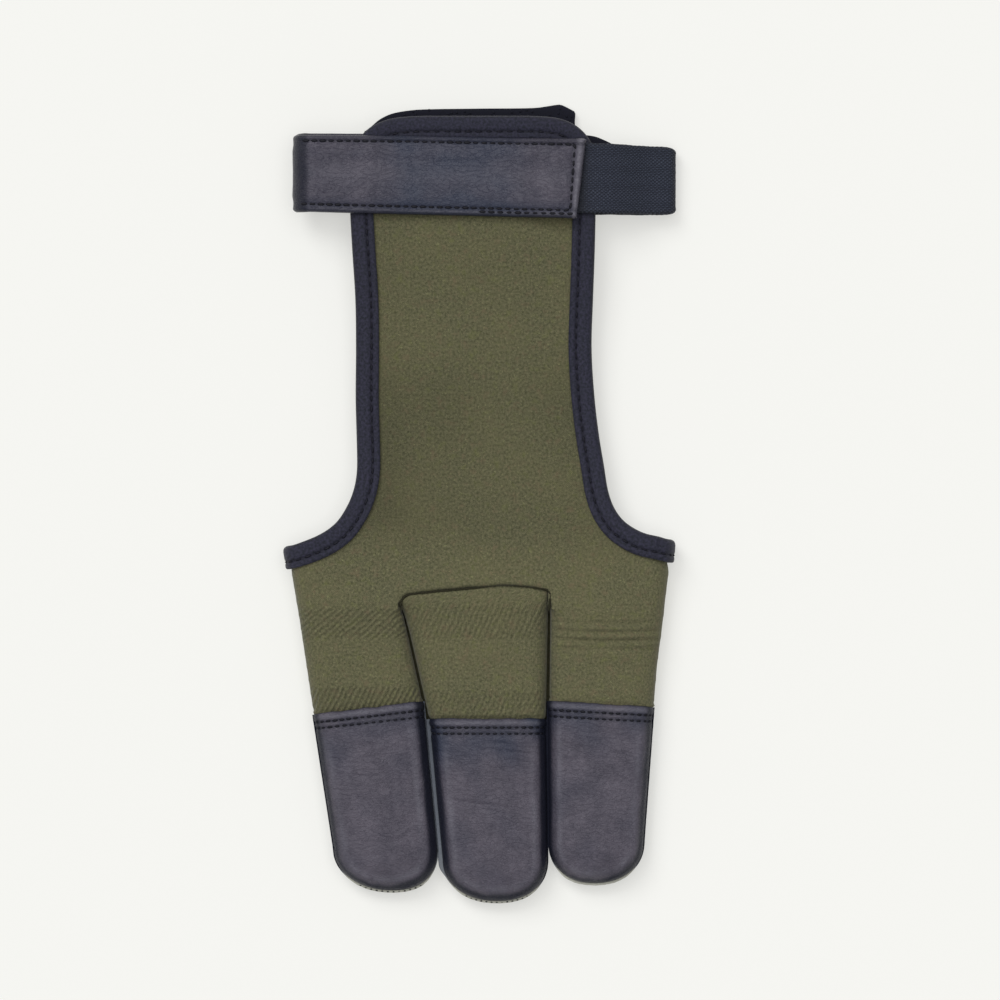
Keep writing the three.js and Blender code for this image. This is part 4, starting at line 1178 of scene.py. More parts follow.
def tape_stations():
    """Middle of the panel's rim, a point lower down the cloth, and the way up, all round."""
    fold = panel_section(0, 0)
    rise = (fold["top"] - fold["crown"] - fold["bottom"]) / 2
    starts = (fold["left"] + rise, fold["right"] - rise)
    ends = (fold["left"], fold["right"])
    corners = (CORNER_HEIGHT["left"] * PANEL_LENGTH, CORNER_HEIGHT["right"] * PANEL_LENGTH)

    def placed(rows, side, sign):
        return [(sign * WAIST[side] * across, up * PANEL_LENGTH) for across, up in rows]

    right_points = [(starts[1], (CORNER_HEIGHT["right"] + 0.008) * PANEL_LENGTH)]
    right_points += placed(RIGHT_EDGE[::-1], "right", 1) + placed(WRIST_CORNER, "right", 1)
    right_run = smooth_line(right_points, TAPE_STEP)
    left_points = placed(WRIST_CORNER[::-1], "left", -1) + placed(LEFT_EDGE, "left", -1)
    left_points.append((starts[0], (CORNER_HEIGHT["left"] + 0.008) * PANEL_LENGTH))
    left_run = smooth_line(left_points, TAPE_STEP)
    across_wrist = np.stack([np.linspace(right_run[-1, 0], left_run[0, 0], 32)[1:-1],
                             np.linspace(right_run[-1, 1], left_run[0, 1], 32)[1:-1]], axis=1)
    half_cloth = CLOTH_WALL / 2

    def on_top(x, y):
        section = panel_section(y, half_cloth)
        centre = (section["left"] + section["right"]) / 2
        flat = (section["right"] - section["left"]) / 2 - rise
        bow = HAND_CROWN * (1 - min(1, abs(x - centre) / flat) ** 2)
        return np.array([x, y, section["top"] - section["crown"] + bow])

    def on_fold(angle, side, y):
        section = panel_section(y, half_cloth)
        high = section["top"] - section["crown"]
        reach = (high - section["bottom"]) / 2
        inner = section["left"] + reach if side == 0 else section["right"] - reach
        return np.array([inner + (2 * side - 1) * reach * math.cos(angle), y,
                         (high + section["bottom"]) / 2 + reach * math.sin(angle)])

    def hidden_y(x):
        share = float(clamp((x - ends[0]) / (ends[1] - ends[0])))
        return mix(corners[0], corners[1], share) - MOUTH_SCOOP * math.sin(math.pi * share) ** 2

    stations = []

    def add(surface, y, up):
        stations.append((surface(y), surface(y - 5.7), up))

    def add_fold(side, run_end, angles):
        for degrees in angles:
            angle = math.radians(degrees)
            x = starts[side] + (ends[side] - starts[side]) * math.cos(angle)
            share = math.cos(angle)
            y = mix(
                run_end, hidden_y(ends[side]), math.sin(share * math.pi / 2),
            ) if angle > 0 else hidden_y(x)
            add(
                lambda level, angle=angle: on_fold(angle, side, level), y,
                ((2 * side - 1) * math.cos(angle), 0, math.sin(angle)),
            )

    for x, y in np.concatenate([right_run, across_wrist, left_run]):
        add(lambda level, x=x: on_top(x, level), y, (0, 0, 1))
    angles = range(80, -91, -10)
    add_fold(0, left_run[-1][1], angles)
    for x in np.linspace(starts[0] + 1.2, starts[1] - 1.2, 64):
        add(
            lambda level, x=x: np.array([x, level, panel_section(level, half_cloth)["bottom"]]),
            hidden_y(x), (0, 0, -1),
        )
    add_fold(1, right_run[0][1], reversed(angles))
    return stations


def tape_frames(stations):
    """Station points with the tape's own inward and upward directions."""
    points = np.array([station[0] for station in stations])
    for _ in range(4):
        points = (np.roll(points, 1, axis=0) + 2 * points + np.roll(points, -1, axis=0)) / 4
    below = np.array([station[1] for station in stations])
    ups = np.array([station[2] for station in stations], float)
    along = np.roll(points, -1, axis=0) - np.roll(points, 1, axis=0)
    for _ in range(3):
        along = (np.roll(along, 1, axis=0) + along + np.roll(along, -1, axis=0)) / 3
    along /= np.linalg.norm(along, axis=1, keepdims=True)
    fall = points - below
    fall /= np.linalg.norm(fall, axis=1, keepdims=True)
    ups -= fall * (ups * fall).sum(axis=1, keepdims=True)
    ups -= along * (ups * along).sum(axis=1, keepdims=True)
    ups /= np.linalg.norm(ups, axis=1, keepdims=True)
    inward = np.cross(ups, along)
    return points, inward / np.linalg.norm(inward, axis=1, keepdims=True), ups, along


IN_EDGE = BINDING_WIDTH - BINDING_WALL - FIT_GAP
INSIDE = CLOTH_WALL / 2 + FIT_GAP
OUTSIDE = INSIDE + BINDING_WALL
TAPE_CHANNEL = 3.55


def tape_profile():
    """Section of the folded tape: depth in from the rim and height off the cloth's middle."""
    depths = [5.0, 4.5, 4.1, 3.8, 3.55, 3.3, 2.95, 2.3, 1.5, 0.6]
    upper = [
        (IN_EDGE, INSIDE + 0.12), (IN_EDGE + 0.02, INSIDE + 0.55), (IN_EDGE - 0.16, OUTSIDE - 0.12),
        (IN_EDGE - 0.4, OUTSIDE),
    ]
    upper += [(depth, OUTSIDE + 0.06 - 0.42 * ridge(depth - TAPE_CHANNEL, 0.42)) for depth in depths]
    upper += [(-0.1, OUTSIDE - 0.1), (-0.6, OUTSIDE - 0.45), (-0.92, OUTSIDE - 1.0), (-1.02, OUTSIDE - 1.6)]
    inside = [
        (IN_EDGE - 0.2, -INSIDE), (1.5, -INSIDE), (-FIT_GAP, -INSIDE), (-FIT_GAP, INSIDE), (1.5, INSIDE),
        (IN_EDGE - 0.2, INSIDE),
    ]
    return np.array(upper + [(depth, -height) for depth, height in upper[::-1]] + inside)


def tape_material():
    material, tree, finish = new_material("dark_binding_tape")
    place = read_cut(tree)
    fine = noise_into(tree, place, 1.3, 2.0, 0.6)
    broad = noise_into(tree, place, 0.16)
    turn = node_into(tree, "ShaderNodeMapping", {
        "Vector": place, "Rotation": (0, 0, math.radians(40)), "Scale": (2.6, 1.3, 1),
    })
    weave = node_into(tree, "ShaderNodeTexWave", {
        "Vector": turn.outputs[0], "Scale": 0.5, "Distortion": 1.2, "Detail": 1.0,
    })
    speck = remap(tree, fine, 0.34, 0.66)
    shade = blend_colours(tree, speck, dye(8, 11, 26), dye(50, 48, 68))
    faded = blend_colours(tree, maths(tree, "MULTIPLY", broad, 0.5), shade, dye(31, 36, 47))
    # Painted shade from the edge value.
    fold = painted(tree, "edge")
    tree.links.new(blend_colours(tree, fold, faded, dye(14, 14, 24)), finish.inputs["Base Color"])
    tree.links.new(remap(tree, fine, start=0.6, end=0.82), finish.inputs["Roughness"])
    finish.inputs["Specular IOR Level"].default_value = 0.3
    finish.inputs["Sheen Weight"].default_value = 0.08
    relief = maths(tree, "ADD", maths(tree, "MULTIPLY", weave.outputs["Fac"], 0.5), fine)
    emboss(tree, finish, relief, 0.6, 0.16)
    return material


BINDING_TAPE = tape_material()


def make_binding():
    points, inward, ups, along = tape_frames(tape_stations())
    points[:, 0] += 0.7 * ease((points[:, 0] - 12) / 8) * ease((points[:, 1] + 1) / 3)
    profile = tape_profile()
    rings = points[:, None] + inward[:, None] * profile[:, 0][None, :, None]
    rings = rings + ups[:, None] * profile[:, 1][None, :, None]
    shake = 0.1 * ripple(
        rings * np.array([1, 1, 0.4]), (7, 7, 7), 61.0,
    ) + 0.07 * ripple(rings, (2.4, 2.4, 2.4), 63.0)
    rings = rings + ups[:, None] * (
        shake * np.sign(profile[:, 1])[None, :] * (profile[:, 0] < IN_EDGE)[None, :]
    )[:, :, None]
    rings[:, :, 2] = np.maximum(rings[:, :, 2], 0.03)
    flat = rings.reshape(-1, 3)
    faces = facing_out(flat, closed_loft(rings, joined=True))
    run = run_along(points)
    around = run_along(profile)
    cut = np.stack(np.broadcast_arrays(run[:, None], around[None, :], 0.0), axis=2)
    # Painted shade: the edge value darkens the stitch channel and the outer fold, where the tape rounds over
    # the rim.
    channel = ridge(profile[:, 0] - TAPE_CHANNEL, 0.4) * 0.5
    outer_fold = ease((0.2 - profile[:, 0]) / 1.2) * 0.35
    edge = np.broadcast_to(np.maximum(channel, outer_fold)[None, :], rings.shape[:2])
    tape = make_piece("edge_binding_tape", flat, faces, BINDING_TAPE, {
        "cut": cut.reshape(-1, 3), "edge": edge.ravel(),
    })
    lines = []
    for side in (1, -1):
        line = points + inward * TAPE_CHANNEL + ups * side * (OUTSIDE - 0.14)
        lines.append((np.concatenate([line, line[:1]]), np.concatenate([ups, ups[:1]]) * side))
    return tape, lines


edge_binding, binding_lines = make_binding()
fit(edge_binding, "binding_tape", "edge_binding")
TAPE_THREAD = plain_material("tape_thread", dye(5, 5, 12), dye(20, 20, 36), 0.6, 3.0)
sew("edge_binding_stitches", binding_lines, TAPE_PITCH, 2.0, 0.62, "binding_tape", TAPE_THREAD, 0.5)

# WRIST STRAP
# A double leather strap that goes over the wrist end of the panel, round the left side and back
# underneath to the closure. Its edges are folded in and stitched all round, which leaves a soft
# raised lip, and its end is sewn down over the elastic.
STRAP_WIDTH = 21.9
STRAP_REACH = 54.4
STRAP_END = 29.8
STRAP_CENTRE = 107.9
STRAP_LEAN = -0.02
STRAP_WALL = 1.8
STRAP_REAR_END = 12.0
STRAP_FRONT_Z = 14.7
STRAP_REAR_Z = 3.7
STRAP_END_Z = 16.4
STRAP_STEP = 0.5
STRAP_SEAMS = {"top": 1.35, "low": 1.9, "end": 2.7}
STRAP_SECOND_ROW = 1.0
STRAP_PITCH = 2.45


def fold_points(centre_x, centre_z, radius, sign):
    angles = np.linspace(math.pi / 2, -math.pi / 2, 13)
    return [
        (centre_x + sign * radius * math.cos(angle), centre_z + radius * math.sin(angle)) for angle in angles
    ]


def strap_path():
    radius = (STRAP_FRONT_Z - STRAP_REAR_Z) / 2
    points = [
        (STRAP_END, STRAP_END_Z), (25, STRAP_END_Z), (19, STRAP_END_Z - 0.1), (13, 14.7), (6, 14.45),
        (0, 14.45), (-10, 14.5), (-20.8, 14.6), (-29.5, STRAP_FRONT_Z), (-40, STRAP_FRONT_Z),
    ]
    points += fold_points(-STRAP_REACH + STRAP_WALL / 2 + radius, STRAP_REAR_Z + radius, radius, -1)
    points += [(-38, STRAP_REAR_Z), (-17.35, STRAP_REAR_Z), (STRAP_REAR_END, STRAP_REAR_Z)]
    return smooth_line(points, STRAP_STEP)


def ribbon_grids(path, centre_line, half_widths, columns):
    """Outer and inner grid of a flat ribbon whose middle follows a path in the XZ plane."""
    ahead = np.gradient(path, axis=0)
    ahead /= np.linalg.norm(ahead, axis=1, keepdims=True)
    normal = np.stack([ahead[:, 1] * -1, ahead[:, 0]], axis=1) * -1
    across = np.sin(np.linspace(-1, 1, columns) * math.pi / 2 * 0.9) / math.sin(math.pi / 2 * 0.9)
    top, low = half_widths
    y = centre_line[:, None] + np.where(across > 0, across * top[:, None], across * low[:, None])
    x = np.broadcast_to(path[:, 0][:, None], y.shape)
    z = np.broadcast_to(path[:, 1][:, None], y.shape)
    middle = np.stack([x, y, z], axis=2)
    out = np.stack(np.broadcast_arrays(normal[:, 0][:, None], 0.0, normal[:, 1][:, None] + 0 * y), axis=2)
    edge = np.minimum(y - y[:, :1], y[:, -1:] - y)
    return middle, out, edge, y - centre_line[:, None]


def make_strap():
    path = strap_path()
    x, z = path.T
    run = run_along(path)
    middle_z = (STRAP_FRONT_Z + STRAP_REAR_Z) / 2
    front = z > middle_z
    rear = clamp((middle_z - z) / (STRAP_FRONT_Z - middle_z))
    centre = STRAP_CENTRE - 0.1 + STRAP_LEAN * (x + STRAP_REACH) + rear * 0.9
    low = STRAP_WIDTH / 2 + 0.3 * front * (1 - (x / STRAP_REACH) ** 2) + 0.25 * clamp(x / STRAP_END)
    top = STRAP_WIDTH / 2 - 0.4 * clamp((-x - 20) / 30)
    middle, out, edge, across = ribbon_grids(path, centre, (top, low), 62)
    from_low, from_top = middle[:, :, 1] - middle[:, :1, 1], middle[:, -1:, 1] - middle[:, :, 1]
    to_end = np.minimum(run, run[-1] - run)[:, None]
    near = np.minimum(edge, to_end + 0 * edge)
    on_flat = ease((x[:, None] + 51.5) / 2.5)
    wall = STRAP_WALL / 2 * (1 - (0.2 + 0.2 * on_flat) * ridge(near, 0.28))
    row_gap = np.minimum(np.abs(from_low - STRAP_SEAMS["low"]), np.abs(from_top - STRAP_SEAMS["top"]))
    end_row = ridge(to_end - STRAP_SEAMS["end"], 0.45) * (edge > STRAP_SEAMS["top"])
    channel = np.maximum(ridge(row_gap, 0.5), end_row) * on_flat
    on_lip = ridge(run[:, None] - 1.0, 0.9) * front[:, None] + 0 * edge
    inside = ease((edge - 2.2) / 2.5) * ease((to_end - 3.2) / 2)
    flat = middle * np.array([1, 1, 0.5])
    soft = (
        0.22 * ripple(flat, (17, 9, 9), 71.0) + 0.07 * ripple(flat, (5, 4, 4), 75.0)
    ) * (0.2 + 0.8 * inside)
    soft += 0.06 * ripple(flat, (2.2, 1.2, 2), 77.0) * ease((1.6 - edge) / 0.8)
    crease = sum(ridge(across - 4.6 + gap - 0.3 * np.sin(middle[:, :, 0] / 6), 0.32) for gap in (0, 0.8))
    crease = -0.16 * crease * sleeve_band(middle[:, :, 0], -31, 4) * front[:, None]
    push = wall + 0.1 * ridge(edge - 0.6, 0.6) + 0.4 * on_lip + soft + crease + 0.3 * inside - 0.34 * channel
    lean = clamp(1 - run[:, None] / 6) * (0.115 * across - 0.4)
    left_fold = 0.55 * ease((-x - 46) / 8)[:, None]
    middle = middle + np.stack([lean + left_fold, 0 * edge, 0 * edge], axis=2)
    outer = middle + out * push[:, :, None]
    inner = middle - out * (wall + 0.1 * inside - 0.25 * channel)[:, :, None]
    points, faces, sources = shell(outer, inner, bulge=0.35)
    cut = np.stack(np.broadcast_arrays(run[:, None], across, 0.0), axis=2)
    # Painted shade in the edge value: the left fold where the strap turns under, the rounded edges beyond the
    # stitch rows and the stitch channels. Painted highlights in the pale value: the raised end lip, a line
    # along the low edge and a broad soft band along the middle. The cool value makes the middle of the front
    # run and the low edge bluer, in soft patches.
    fold_shade = ease((-48.6 - x) / 2.0)[:, None] * 0.85 * (1 - 0.45 * ridge(x + 53.6, 0.35))[:, None]
    beyond = ease((0.9 - np.minimum(from_low - 0.9, from_top - 0.35)) / 0.8) * 0.35
    dark = np.maximum.reduce([channel * 0.5, fold_shade + 0 * edge, beyond * (1 - on_lip)])
    spots = ripple(flat, (9, 5, 9), 91.0)
    cool = sleeve_band(x / 8, -3.9, 2.1)[:, None] * (0.75 + 0.4 * spots) + 0.25 * spots
    cool = cool + 0.5 * ease((-across - 5.5) / 4)
    pale = np.maximum(on_lip, 0.4 * ridge(from_low - 0.75, 0.5) * (1 - 0.6 * ease((-x[:, None] - 10) / 20)))
    pale = np.maximum(
        pale * (0.8 + 0.4 * ripple(flat, (2.5, 1.5, 2), 93.0)),
        0.18 * ridge(across + 1.5 * spots, 3.0) * on_flat,
    )
    strap = make_piece("wrist_strap_leather", points, faces, STRAP_LEATHER, {
        "cut": cut.reshape(-1, 3)[sources], "edge": clamp(dark).ravel()[sources],
        "pale": clamp(pale * (1 - fold_shade)).ravel()[sources], "cool": clamp(cool).ravel()[sources],
    })
    low_row = int(np.argmin(np.abs(from_low[40] - STRAP_SEAMS["low"])))
    top_row = int(np.argmin(np.abs(from_top[40] - STRAP_SEAMS["top"])))
    second_row = int(np.argmin(np.abs(from_low[40] - STRAP_SECOND_ROW)))
    turn = int(np.argmin(x))
    lines = []
    for side, grid in ((1, outer), (-1, inner)):
        for start, stop in ((0, turn - 12), (len(run) - 1, turn + 12)):
            step = 1 if stop > start else -1
            end = start + step * int(STRAP_SEAMS["end"] / STRAP_STEP)
            trail = [(row, low_row) for row in range(stop, end, -step)]
            trail += [(end, column) for column in range(low_row, top_row)]
            trail += [(row, top_row) for row in range(end, stop, step)]
            trails = [trail]
            if side > 0 and start == 0:
                trails.append([(row, second_row) for row in range(end, end + int(27 / STRAP_STEP))])
            for trail in trails:
                rows, places = np.array(trail).T
                ups = out[rows, places] * side
                lines.append((grid[rows, places] + ups * 0.08, ups))
    return strap, lines


STRAP_LEATHER = leather_material(
    "strap_leather", dye(54, 53, 66), dye(80, 76, 88), dye(17, 20, 36), dye(104, 102, 112), 0.42, 1.1,
    0.5,
)
wrist_strap, strap_lines = make_strap()
fit(wrist_strap, "strap_leather", "wrist_strap")
sew(
    "wrist_strap_stitches", strap_lines, STRAP_PITCH, 2.05, 0.86, "strap_leather", height=0.55,
    unevenness=0.2,
)

# ELASTIC BAND
# A short piece of woven elastic that lets the strap give. It comes out from under the strap's
# end, goes over the bound edge and round the right side, and is sewn to the closure below.
ELASTIC_WALL = 1.4
ELASTIC_STEP = 0.35
ELASTIC_PATH = ((19, 14.5), (26, 14.5), (33.6, 14.4), (39.5, 13.0), (43.3, 11.1), (48.6, 8.2))
ELASTIC_TAIL = ((48.5, 0.72), (44.2, 1.0), (39.5, 2.1), (34, 2.1), (28.1, 2.1))


def elastic_material():
    material, tree, finish = new_material("woven_elastic")
    place = read_cut(tree)
    heights = []
    for angle, scale in ((math.radians(38), 0.42), (math.radians(-38), 0.42), (0, 0.6)):
        turned = node_into(tree, "ShaderNodeMapping", {"Vector": place, "Rotation": (0, 0, angle)})
        wave = node_into(tree, "ShaderNodeTexWave", {
            "Vector": turned.outputs[0], "Scale": scale, "Distortion": 2.6, "Detail": 2.0,
            "Detail Scale": 2.2,
        }, bands_direction="Y")
        heights.append(wave.outputs["Fac"])
    crossed = maths(tree, "MULTIPLY", heights[0], heights[1])
    relief = maths(tree, "ADD", crossed, maths(tree, "MULTIPLY", heights[2], 0.35))
    specks = noise_into(tree, place, 2.2, 3.0, 0.8)
    woven = maths(tree, "ADD", maths(tree, "MULTIPLY", relief, 0.55), maths(tree, "MULTIPLY", specks, 0.45))
    share = remap(tree, woven, 0.15, 0.75)
    shade = blend_colours(tree, share, dye(6, 8, 17), dye(58, 64, 80))
    # Painted shade from the edge value.
    fold = painted(tree, "edge")
    tree.links.new(blend_colours(tree, fold, shade, dye(28, 30, 38)), finish.inputs["Base Color"])
    tree.links.new(remap(tree, share, start=0.85, end=0.6), finish.inputs["Roughness"])
    finish.inputs["Specular IOR Level"].default_value = 0.3
    emboss(tree, finish, relief, 0.8, 0.22)
    return material


WOVEN_ELASTIC = elastic_material()


def make_elastic():
    path = smooth_line(
        list(ELASTIC_PATH) + fold_points(53.4, 3.7, 3.0, 1)[2:-1] + list(ELASTIC_TAIL), ELASTIC_STEP,
    )
    x, z = path.T
    run = run_along(path)
    centre = STRAP_CENTRE - 0.05 + STRAP_LEAN * (x + STRAP_REACH)
    fold_run = run[np.argmax(x)]
    rounding = 0.5 * ridge(run - fold_run, 2.2)
    wave = 0.04 * np.sin(run / 2.6) + 0.03 * np.sin(run / 0.9)
    top = 10.0 - 0.022 * clamp(x - 30, 0, 40) - rounding + wave
    low = 10.0 - 0.018 * clamp(x - 30, 0, 40) - rounding + wave
    middle, out, edge, across = ribbon_grids(path, centre, (top, low), 56)
    ribs = 0.05 * np.sin(across * 2 * math.pi / 1.1) * np.sin(
        run[:, None] * 2 * math.pi / 1.4 + across * 2 * math.pi / 2.2
    )
    flat = middle * np.array([1, 1, 0.5])
    soft = 0.16 * ripple(flat, (11, 14, 10), 81.0)
    wall = ELASTIC_WALL / 2 * (1 - 0.35 * ridge(edge, 0.3)) + 0.12 * ridge(edge - 0.9, 0.5)
    outer = middle + out * (wall + ribs + soft)[:, :, None]
    inner = middle - out * (wall + ribs - soft)[:, :, None]
    outer[:, :, 2] = np.maximum(outer[:, :, 2], 0.03)
    inner[:, :, 2] = np.maximum(inner[:, :, 2], 0.03)
    points, faces, sources = shell(outer, inner, bulge=0.3)
    points[:, 2] = np.maximum(points[:, 2], 0.02)
    cut = np.stack(np.broadcast_arrays(run[:, None], across, 0.0), axis=2)
    # Painted shade along both edges and round the fold at the right side, and a painted shadow where the band
    # comes out from under the strap's end.
    dark = np.maximum(
        0.5 * ridge(edge, 0.7), ease((3.6 - np.abs(run[:, None] - fold_run)) / 3.0) * 0.6 + 0 * edge,
    )
    dark = np.maximum(dark, 0.8 * ridge(np.abs(x[:, None] - 29.4), 2.2) * (z[:, None] > 9) + 0 * edge)
    return make_piece("elastic_band_knit", points, faces, WOVEN_ELASTIC, {
        "cut": cut.reshape(-1, 3)[sources], "edge": dark.ravel()[sources],
    })


fit(make_elastic(), "elastic_knit", "elastic_band")

# CLOSURE
# Under the wrist lie the two halves of a hook and loop closure: a wide patch of black loop pile
# that shows past the bound end, and a narrow tab of stiff hooks that it rests on.
PATCH_LOW = 1.4
PATCH_WALL = 1.1
PATCH_LENGTH = 31.0
PATCH_TOP = PANEL_LENGTH + BINDING_WALL + FIT_GAP + 2.9
PATCH_ROWS = (
    (-0.96, -0.255), (-0.9, -0.203), (-0.835, -0.142), (-0.75, -0.094), (-0.67, -0.071), (-0.545, -0.052),
    (-0.4, -0.045),
    (0, -0.039), (0.53, -0.032), (0.64, -0.018), (0.73, -0.004), (0.765, -0.003), (0.87, -0.052),
    (0.9, -0.07), (0.905, -0.09),
    (0.9, -0.16), (0.9, -1), (-1, -1), (-1, -0.36),
)
TAB_TOP = STRAP_CENTRE + 11.3
TAB_WIDTH = 22.0
TAB_LENGTH = 47.0
TAB_END = 39.2
TAB_ROWS = (
    (-0.02, 0.24), (-0.005, 0.15), (0.08, 0.05), (0.12, 0.02), (0.2, 0), (0.94, 0), (1, 0.14), (1, 0.86),
    (0.94, 1), (0.04, 1), (0, 0.9),
)


def pile_tree():
    """Pile on a plate: short curled tufts scattered over its faces, all standing off them."""
    tree = bpy.data.node_groups.new("closure_pile", "GeometryNodeTree")
    face = tree.interface
    face.new_socket("Plate", in_out="INPUT", socket_type="NodeSocketGeometry")
    for label in ("Spacing", "Tuft Height", "Tuft Width"):
        face.new_socket(label, in_out="INPUT", socket_type="NodeSocketFloat")
    face.new_socket("Seed", in_out="INPUT", socket_type="NodeSocketInt")
    face.new_socket("Pile", in_out="INPUT", socket_type="NodeSocketMaterial")
    face.new_socket("Closure", in_out="OUTPUT", socket_type="NodeSocketGeometry")
    start, end = tree.nodes.new("NodeGroupInput"), tree.nodes.new("NodeGroupOutput")
    up = node_into(tree, "GeometryNodeInputNormal")
    parts = node_into(tree, "ShaderNodeSeparateXYZ", {0: up.outputs[0]})
    flat = node_into(
        tree, "FunctionNodeCompare", {0: maths(tree, "ABSOLUTE", parts.outputs[2]), 1: 0.9},
        operation="GREATER_THAN",
    )
    spots = node_into(tree, "GeometryNodeDistributePointsOnFaces", {
        "Mesh": start.outputs["Plate"], "Selection": flat.outputs[0],
        "Distance Min": start.outputs["Spacing"],
        "Density Max": 1.4 / MM ** 2, "Seed": start.outputs["Seed"],
    }, distribute_method="POISSON")
    tuft = node_into(tree, "GeometryNodeMeshUVSphere", {"Segments": 5, "Rings": 4, "Radius": 0.5})
    size = node_into(tree, "ShaderNodeCombineXYZ", {
        "X": start.outputs["Tuft Width"], "Y": start.outputs["Tuft Width"], "Z": start.outputs["Tuft Height"],
    })
    lean = node_into(tree, "FunctionNodeRandomValue", {
        "Seed": start.outputs["Seed"],
    }, data_type="FLOAT_VECTOR")
    lean.inputs[0].default_value = (-0.5, -0.5, 0)
    lean.inputs[1].default_value = (0.5, 0.5, 6.2)
    turned = node_into(
        tree, "FunctionNodeRotateRotation", {0: spots.outputs["Rotation"]}, rotation_space="LOCAL",
    )
    tree.links.new(
        node_into(tree, "FunctionNodeEulerToRotation", {0: lean.outputs[0]}).outputs[0], turned.inputs[1],
    )
    tufts = node_into(tree, "GeometryNodeInstanceOnPoints", {
        "Points": spots.outputs["Points"], "Instance": tuft.outputs[0], "Rotation": turned.outputs[0],
        "Scale": size.outputs[0],
    })
    whole = node_into(tree, "GeometryNodeJoinGeometry")
    tree.links.new(tufts.outputs[0], whole.inputs[0])
    tree.links.new(start.outputs["Plate"], whole.inputs[0])
    real = node_into(tree, "GeometryNodeRealizeInstances", {"Geometry": whole.outputs[0]})
    smooth = node_into(tree, "GeometryNodeSetShadeSmooth", {"Geometry": real.outputs[0]})
    dyed = node_into(tree, "GeometryNodeSetMaterial", {
        "Geometry": smooth.outputs[0], "Material": start.outputs["Pile"],
    })
    tree.links.new(dyed.outputs[0], end.inputs["Closure"])
    return tree


PILE_TREE = pile_tree()
CLOSURE_PILE = plain_material("closure_pile", dye(10, 11, 20), dye(28, 29, 42), 0.9, 1.1)


def make_closure(name, outline, low, wall, spacing, tuft_height, tuft_width):
    """Thin plate with a rounded rim and pile on both faces."""
    outline = smooth_line(list(outline) + [outline[0]], 0.8)[:-1]
    ahead = np.roll(outline, -1, axis=0) - np.roll(outline, 1, axis=0)
    ahead /= np.linalg.norm(ahead, axis=1, keepdims=True)
    turn = np.sign(
        (outline[:, 0] * np.roll(outline[:, 1], -1) - np.roll(outline[:, 0], -1) * outline[:, 1]).sum()
    )
    inside = np.stack([-ahead[:, 1], ahead[:, 0]], axis=1) * turn
    core = 0.25
    rings = [
        (1.2, low + core), (0.35, low + core), (0, low + core + 0.2), (0, low + wall - core - 0.2),
        (0.35, low + wall - core), (1.2, low + wall - core),
    ]
    points = np.concatenate([
        np.column_stack([outline + inside * depth, np.full(len(outline), height)]) for depth, height in rings
    ])
    count = len(outline)
    faces = []
    for ring in range(len(rings) - 1):
        for step in range(count):
            after = (step + 1) % count
            faces.append([
                ring * count + step, ring * count + after, (ring + 1) * count + after,
                (ring + 1) * count + step,
            ])
    if turn < 0:
        faces = [face[::-1] for face in faces]
    last = (len(rings) - 1) * count
    bottom = list(range(count))
    faces.append(bottom[::-1] if turn > 0 else bottom)
    faces.append([last + step for step in (bottom if turn > 0 else bottom[::-1])])
    plate = make_piece(name + "_plate", points, faces, CLOSURE_PILE)
    return made_plain(plate, PILE_TREE, name, {
        "Spacing": spacing * MM, "Tuft Height": tuft_height * MM, "Tuft Width": tuft_width * MM,
        "Seed": 5, "Pile": CLOSURE_PILE,
    })


patch_outline = []
for across, up in PATCH_ROWS:
    waist = WAIST["right"] if across > 0 else WAIST["left"]
    patch_outline.append((waist * across, PATCH_TOP + up * PATCH_LENGTH))
loop_patch = make_closure("loop_patch_pile", patch_outline, PATCH_LOW, PATCH_WALL, 0.95, 0.5, 0.9)
fit(loop_patch, "closure_pile", "loop_patch")
tab_outline = [(TAB_END - along * TAB_LENGTH, TAB_TOP - down * TAB_WIDTH) for along, down in TAB_ROWS]
hook_tab = make_closure("hook_tab_hooks", tab_outline, 0.0, 1.1, 1.1, 0.5, 0.5)
fit(hook_tab, "closure_pile", "hook_tab")

# TABLE, LIGHT AND CAMERA
# The glove is seen from straight above on a plain pale table, in soft light from overhead with
# a little more from the wrist's left side.
VIEW_FIELD = 290.0
VIEW_CENTRE = (5.8, 1.16)
VIEW_HEIGHT = 2500.0
MEAN_HEIGHT = 8.0


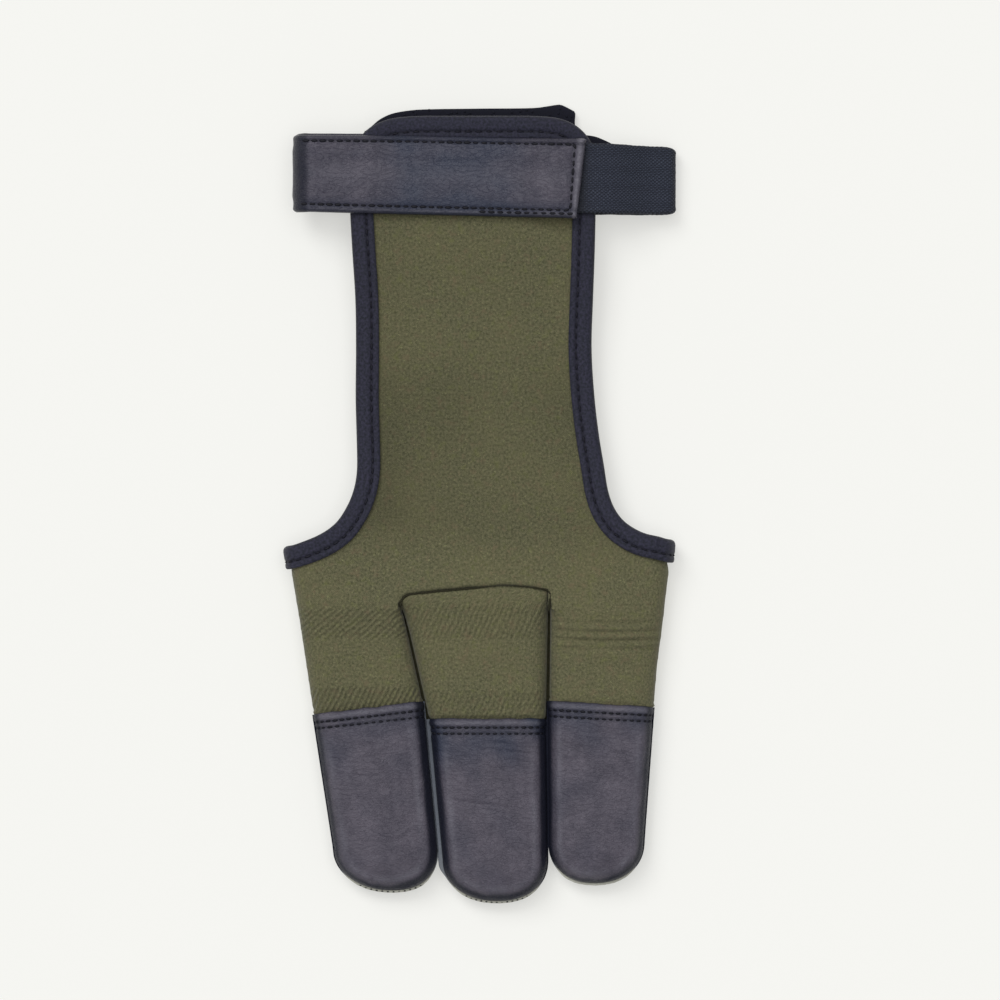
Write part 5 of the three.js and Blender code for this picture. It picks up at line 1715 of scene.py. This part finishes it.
def table_material():
    material, tree, finish = new_material("pale_table")
    place = node_into(tree, "ShaderNodeTexCoord", {}).outputs["Object"]
    cloud = noise_into(tree, place, 6.0)
    shade = blend_colours(tree, cloud, dye(176, 176, 173), dye(177, 177, 174))
    tree.links.new(shade, finish.inputs["Base Color"])
    finish.inputs["Roughness"].default_value = 0.9
    finish.inputs["Specular IOR Level"].default_value = 0.1
    # Painted light: the table glows a little, which lifts the shadows on it and keeps it evenly bright.
    finish.inputs["Emission Color"].default_value = dye(246, 246, 242)
    finish.inputs["Emission Strength"].default_value = 0.515
    return material


table_mesh = bpy.data.meshes.new("pale_table")
table_mesh.from_pydata([(-2, -2, 0), (2, -2, 0), (2, 2, 0), (-2, 2, 0)], [], [(0, 1, 2, 3)])
table_mesh.materials.append(table_material())
put_in_scene("pale_table", table_mesh)


def soft_light(name, strength, spread, azimuth, elevation):
    lamp = bpy.data.lights.new(name, "SUN")
    lamp.energy = strength
    lamp.angle = math.radians(spread)
    light = put_in_scene(name, lamp)
    turn, rise = math.radians(azimuth), math.radians(elevation)
    away = Vector((math.sin(turn) * math.cos(rise), math.cos(turn) * math.cos(rise), math.sin(rise)))
    light.rotation_euler = away.to_track_quat("Z", "Y").to_euler()


soft_light("overhead_light", 1.45, 60, 0, 84)
soft_light("wrist_light", 1.2, 30, -38, 48)
sky = bpy.data.worlds.new("plain_sky")
sky.use_nodes = True
sky.node_tree.nodes["Background"].inputs["Color"].default_value = (1.0, 1.0, 1.0, 1.0)
sky.node_tree.nodes["Background"].inputs["Strength"].default_value = 0.27
bpy.context.scene.world = sky
bpy.context.scene.view_settings.view_transform = "Standard"

camera_data = bpy.data.cameras.new("photo_camera")
camera_data.sensor_width = 36.0
camera_data.lens = camera_data.sensor_width * (VIEW_HEIGHT - MEAN_HEIGHT) / VIEW_FIELD
camera_data.clip_end = 20.0
camera = put_in_scene("photo_camera", camera_data)
camera.location = (VIEW_CENTRE[0] * MM, VIEW_CENTRE[1] * MM, VIEW_HEIGHT * MM)
bpy.context.scene.camera = camera
